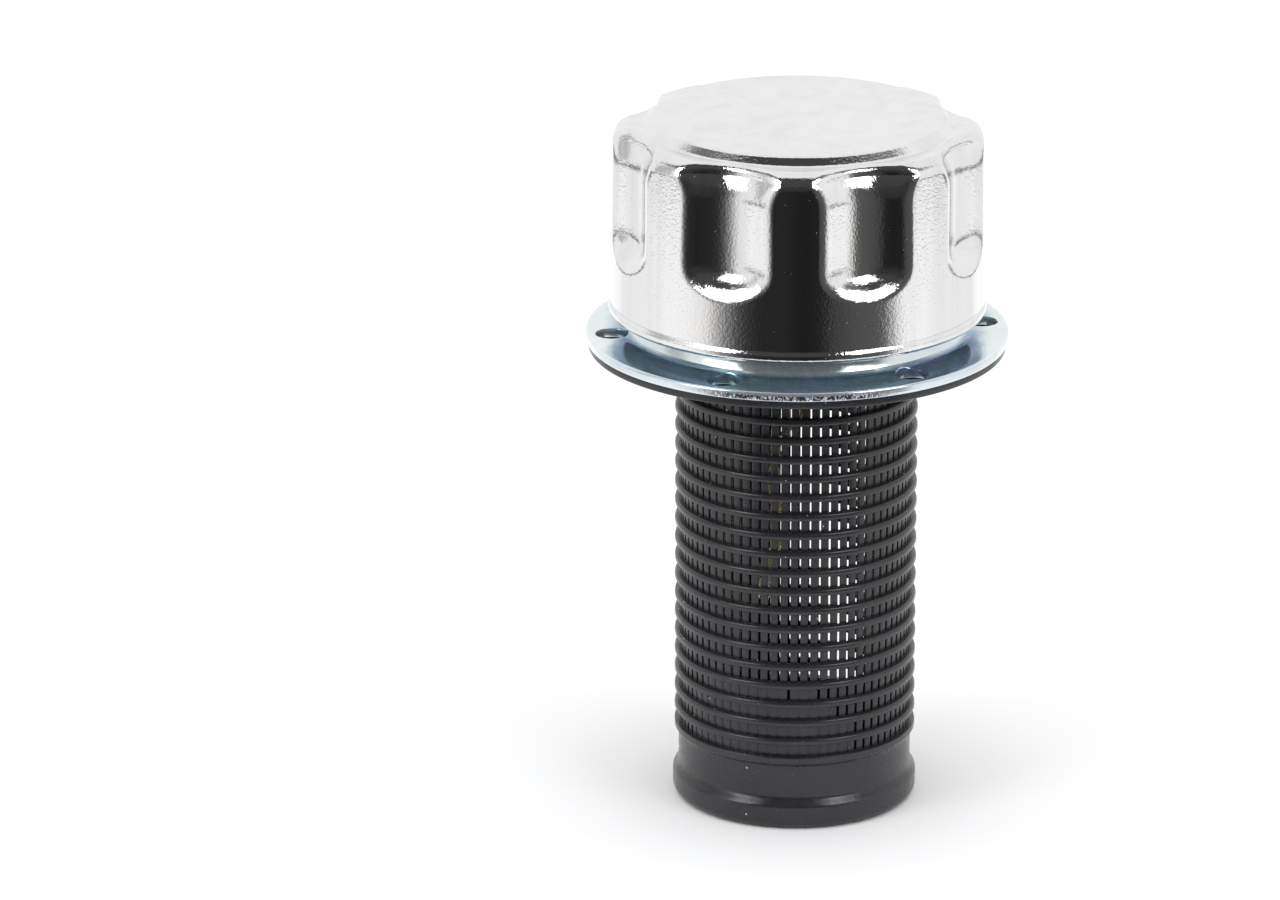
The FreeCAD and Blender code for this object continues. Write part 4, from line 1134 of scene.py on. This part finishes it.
def card_mat(name, turn=1.0, lift=0.0):
    """What polished metal sees around it: white walls, a dark opening in
    front with a grey panel on each side, a dark ceiling and two grey side
    flags.  Azimuth 0 is the front, + to the right; both angles in degrees."""
    m = Mat(name)
    x, y, z = m.xyz()
    az = m.math('MULTIPLY', m.math('ARCTAN2', x, m.math('MULTIPLY', y, -1.0)), math.degrees(1.0) * turn)
    rho = m.math('SQRT', m.math('ADD', m.math('POWER', x, 2.0), m.math('POWER', y, 2.0)))
    el = m.math('MULTIPLY', m.math('ARCTAN2', m.math('SUBTRACT', z, lift), rho), math.degrees(1.0))

    def window(a0, a1, sa, e0, e1, se):
        w = m.math('MULTIPLY', m.spread(az, a0 - sa, a0 + sa), m.spread(az, a1 - sa, a1 + sa, 1.0, 0.0))
        v = m.math('MULTIPLY', m.spread(el, e0 - se, e0 + se), m.spread(el, e1 - se, e1 + se, 1.0, 0.0))
        return m.math('MULTIPLY', w, v)

    def grey(v, tint=(1.0, 1.0, 1.0)):
        return (v * tint[0], v * tint[1], v * tint[2])
    look = m.mix(window(-101, -84, 5, -10, 37, 4), grey(WALL), grey(0.55))
    look = m.mix(window(-112, -76, 4, 38, 55, 4), look, grey(0.17))
    look = m.mix(window(66, 103, 4, 35, 55, 4), look, grey(0.20))
    look = m.mix(window(-86, 86, 3, 48, 60, 3), look, grey(0.11))
    # the opening in front, up to the lower edge of the soft lights
    pos = m.spread(az, -90.0, 90.0, 0.0, 1.0, 'LINEAR')
    stops = [(-62, WALL), (-57, 0.86), (-53, 0.64), (-49, 0.42), (-45, 0.25), (-41, 0.13), (-36, 0.080),
             (-34, 0.050), (-24, 0.022), (-8, 0.022), (2, 0.014), (18, 0.020), (19, 0.055), (34, 0.085),
             (52, 0.105), (55, 0.14), (59, 0.38), (63, 0.80), (66, WALL)]
    low = m.ramp(pos, [((deg + 90.0) / 180.0, grey(v, (1.02, 1.0, 0.98))) for deg, v in stops])
    look = m.mix(window(-68, 68, 2, -60, 21, 3), look, low)
    # above it the dark room, wider towards the ceiling
    look = m.mix(window(-61, 61, 5, 19, 56, 4), look, grey(0.060))
    look = m.mix(window(-74, 74, 5, 52, 68, 3), look, grey(0.068))
    look = m.mix(window(-68, 58, 6, 60, 86, 3), look, grey(0.060))
    look = m.mix(window(-26, 24, 4, -3, 24, 6), look, grey(0.036))
    mottle = m.spread(m.noise(2.2, 2.0, 0.5), 0.3, 0.7, 0.965, 1.025)
    em = m.new("ShaderNodeEmission")
    m.link(look, em.inputs["Color"])
    m.link(mottle, em.inputs["Strength"])
    m.link(em.outputs[0], m.out.inputs["Surface"])
    m.nt.nodes.remove(m.bsdf)
    m.mat.cycles.emission_sampling = 'NONE'
    return m.mat


sector("card_floor_front", -90, 66, 0.20, 2.3, FLOOR_Z + 0.0015, card_mat("floor_card", turn=1.045))
dome("card_room", -90, 180, 2.3, -3.5, 90, card_mat("room_card", lift=0.0), n=120, m=40)


def table_edge_mat():
    """The grey line of the table's far edge, at both sides."""
    m = Mat("table_edge")
    x, y, z = m.xyz()
    rho = m.math('SQRT', m.math('ADD', m.math('POWER', x, 2.0), m.math('POWER', y, 2.0)))
    drift = m.math('MULTIPLY', m.math('SUBTRACT', m.noise(9.0, 3.0, 0.5), 0.5), 0.10)
    tone = m.ramp(m.spread(m.math('ADD', rho, drift), 0.20, 1.15, 0.0, 1.0, 'LINEAR'),
                  [(0.0, 0.94), (0.37, 0.95), (0.46, 0.26), (0.68, 0.10), (0.82, 0.60), (1.0, 0.98)])
    side = m.math('ABSOLUTE', m.math('ARCTAN2', x, m.math('MULTIPLY', y, -1.0)))
    gain = m.ramp(m.spread(side, math.radians(60), math.radians(140), 0.0, 1.0, 'LINEAR'),
                  [(0.0, 1.0), (0.30, 1.0), (0.55, 0.90), (1.0, 0.87)])
    tone = m.mix(1.0, tone, gain, 'MULTIPLY')
    em = m.new("ShaderNodeEmission")
    em.inputs["Strength"].default_value = 1.16
    m.link(tone, em.inputs["Color"])
    m.link(em.outputs[0], m.out.inputs["Surface"])
    m.nt.nodes.remove(m.bsdf)
    m.mat.cycles.emission_sampling = 'NONE'
    return m.mat


edge_mat = table_edge_mat()
sector("card_edge_left", -190, 34, 0.20, 1.15, FLOOR_Z + 0.0012, edge_mat)
sector("card_edge_right", 10, 34, 0.20, 1.15, FLOOR_Z + 0.0012, edge_mat)


# --------------------------------------------------------------------- lighting
world = bpy.data.worlds.new("studio")
scene.world = world
world.use_nodes = True
wn = world.node_tree
wn.nodes["Background"].inputs["Strength"].default_value = 1.0
tc = wn.nodes.new("ShaderNodeTexCoord")
sp = wn.nodes.new("ShaderNodeSeparateXYZ")
wn.links.new(tc.outputs["Generated"], sp.inputs[0])
wr = wn.nodes.new("ShaderNodeValToRGB")
wn.links.new(sp.outputs["Z"], wr.inputs["Fac"])
for el, (pos, v) in zip(wr.color_ramp.elements, ((0.0, 0.90), (1.0, 0.95))):
    el.position = pos
    el.color = (v, v, v * 1.01, 1.0)
wn.links.new(wr.outputs["Color"], wn.nodes["Background"].inputs["Color"])


def softbox(name, azimuth, elevation, distance, wide, high, radiance, tint=(1.0, 1.0, 1.0)):
    """A rectangular soft light that faces the object; azimuth 0 is the
    front, + to the right."""
    data = bpy.data.lights.new(name, 'AREA')
    data.shape = 'RECTANGLE'
    data.size, data.size_y = wide, high
    data.energy = radiance * math.pi * wide * high
    data.color = tint
    light = bpy.data.objects.new(name, data)
    a, e = math.radians(azimuth), math.radians(elevation)
    light.location = (distance * math.cos(e) * math.sin(a), -distance * math.cos(e) * math.cos(a),
                      distance * math.sin(e))
    light.rotation_euler = (math.pi / 2 - e, 0.0, a)
    scene.collection.objects.link(light)
    light.visible_camera = False
    return light


softbox("soft_left", -54, 32, 1.35, 0.49, 0.76, 2.8, (0.97, 0.985, 1.0))
softbox("soft_right", 49, 36, 1.35, 0.62, 0.60, 2.4, (0.97, 0.985, 1.0))
softbox("soft_top", 0, 88, 1.30, 1.10, 0.90, 1.15).visible_glossy = False


def lamp_glow(name, azimuth, elevation, distance, wide, high, strength):
    """The bright tubes behind a soft light's cloth: seen in reflections only."""
    m = Mat(name)
    em = m.new("ShaderNodeEmission")
    em.inputs["Color"].default_value = (0.97, 0.985, 1.0, 1.0)
    em.inputs["Strength"].default_value = strength
    m.link(em.outputs[0], m.out.inputs["Surface"])
    m.nt.nodes.remove(m.bsdf)
    m.mat.cycles.emission_sampling = 'NONE'
    a, e = math.radians(azimuth), math.radians(elevation)
    mid = (distance * math.cos(e) * math.sin(a), -distance * math.cos(e) * math.cos(a), distance * math.sin(e))
    across = (math.cos(a), math.sin(a), 0.0)
    up = (-math.sin(a) * math.sin(e), math.cos(a) * math.sin(e), math.cos(e))
    verts = [tuple(c + 0.5 * wide * i * u + 0.5 * high * j * v for c, u, v in zip(mid, across, up))
             for i, j in ((-1, -1), (1, -1), (1, 1), (-1, 1))]
    glossy_only(stage_object(name, verts, [(0, 1, 2, 3)], m.mat))


lamp_glow("glow_left", -54, 32, 1.37, 0.44, 0.70, 2.8)
lamp_glow("glow_right", 49, 36, 1.37, 0.56, 0.54, 2.8)
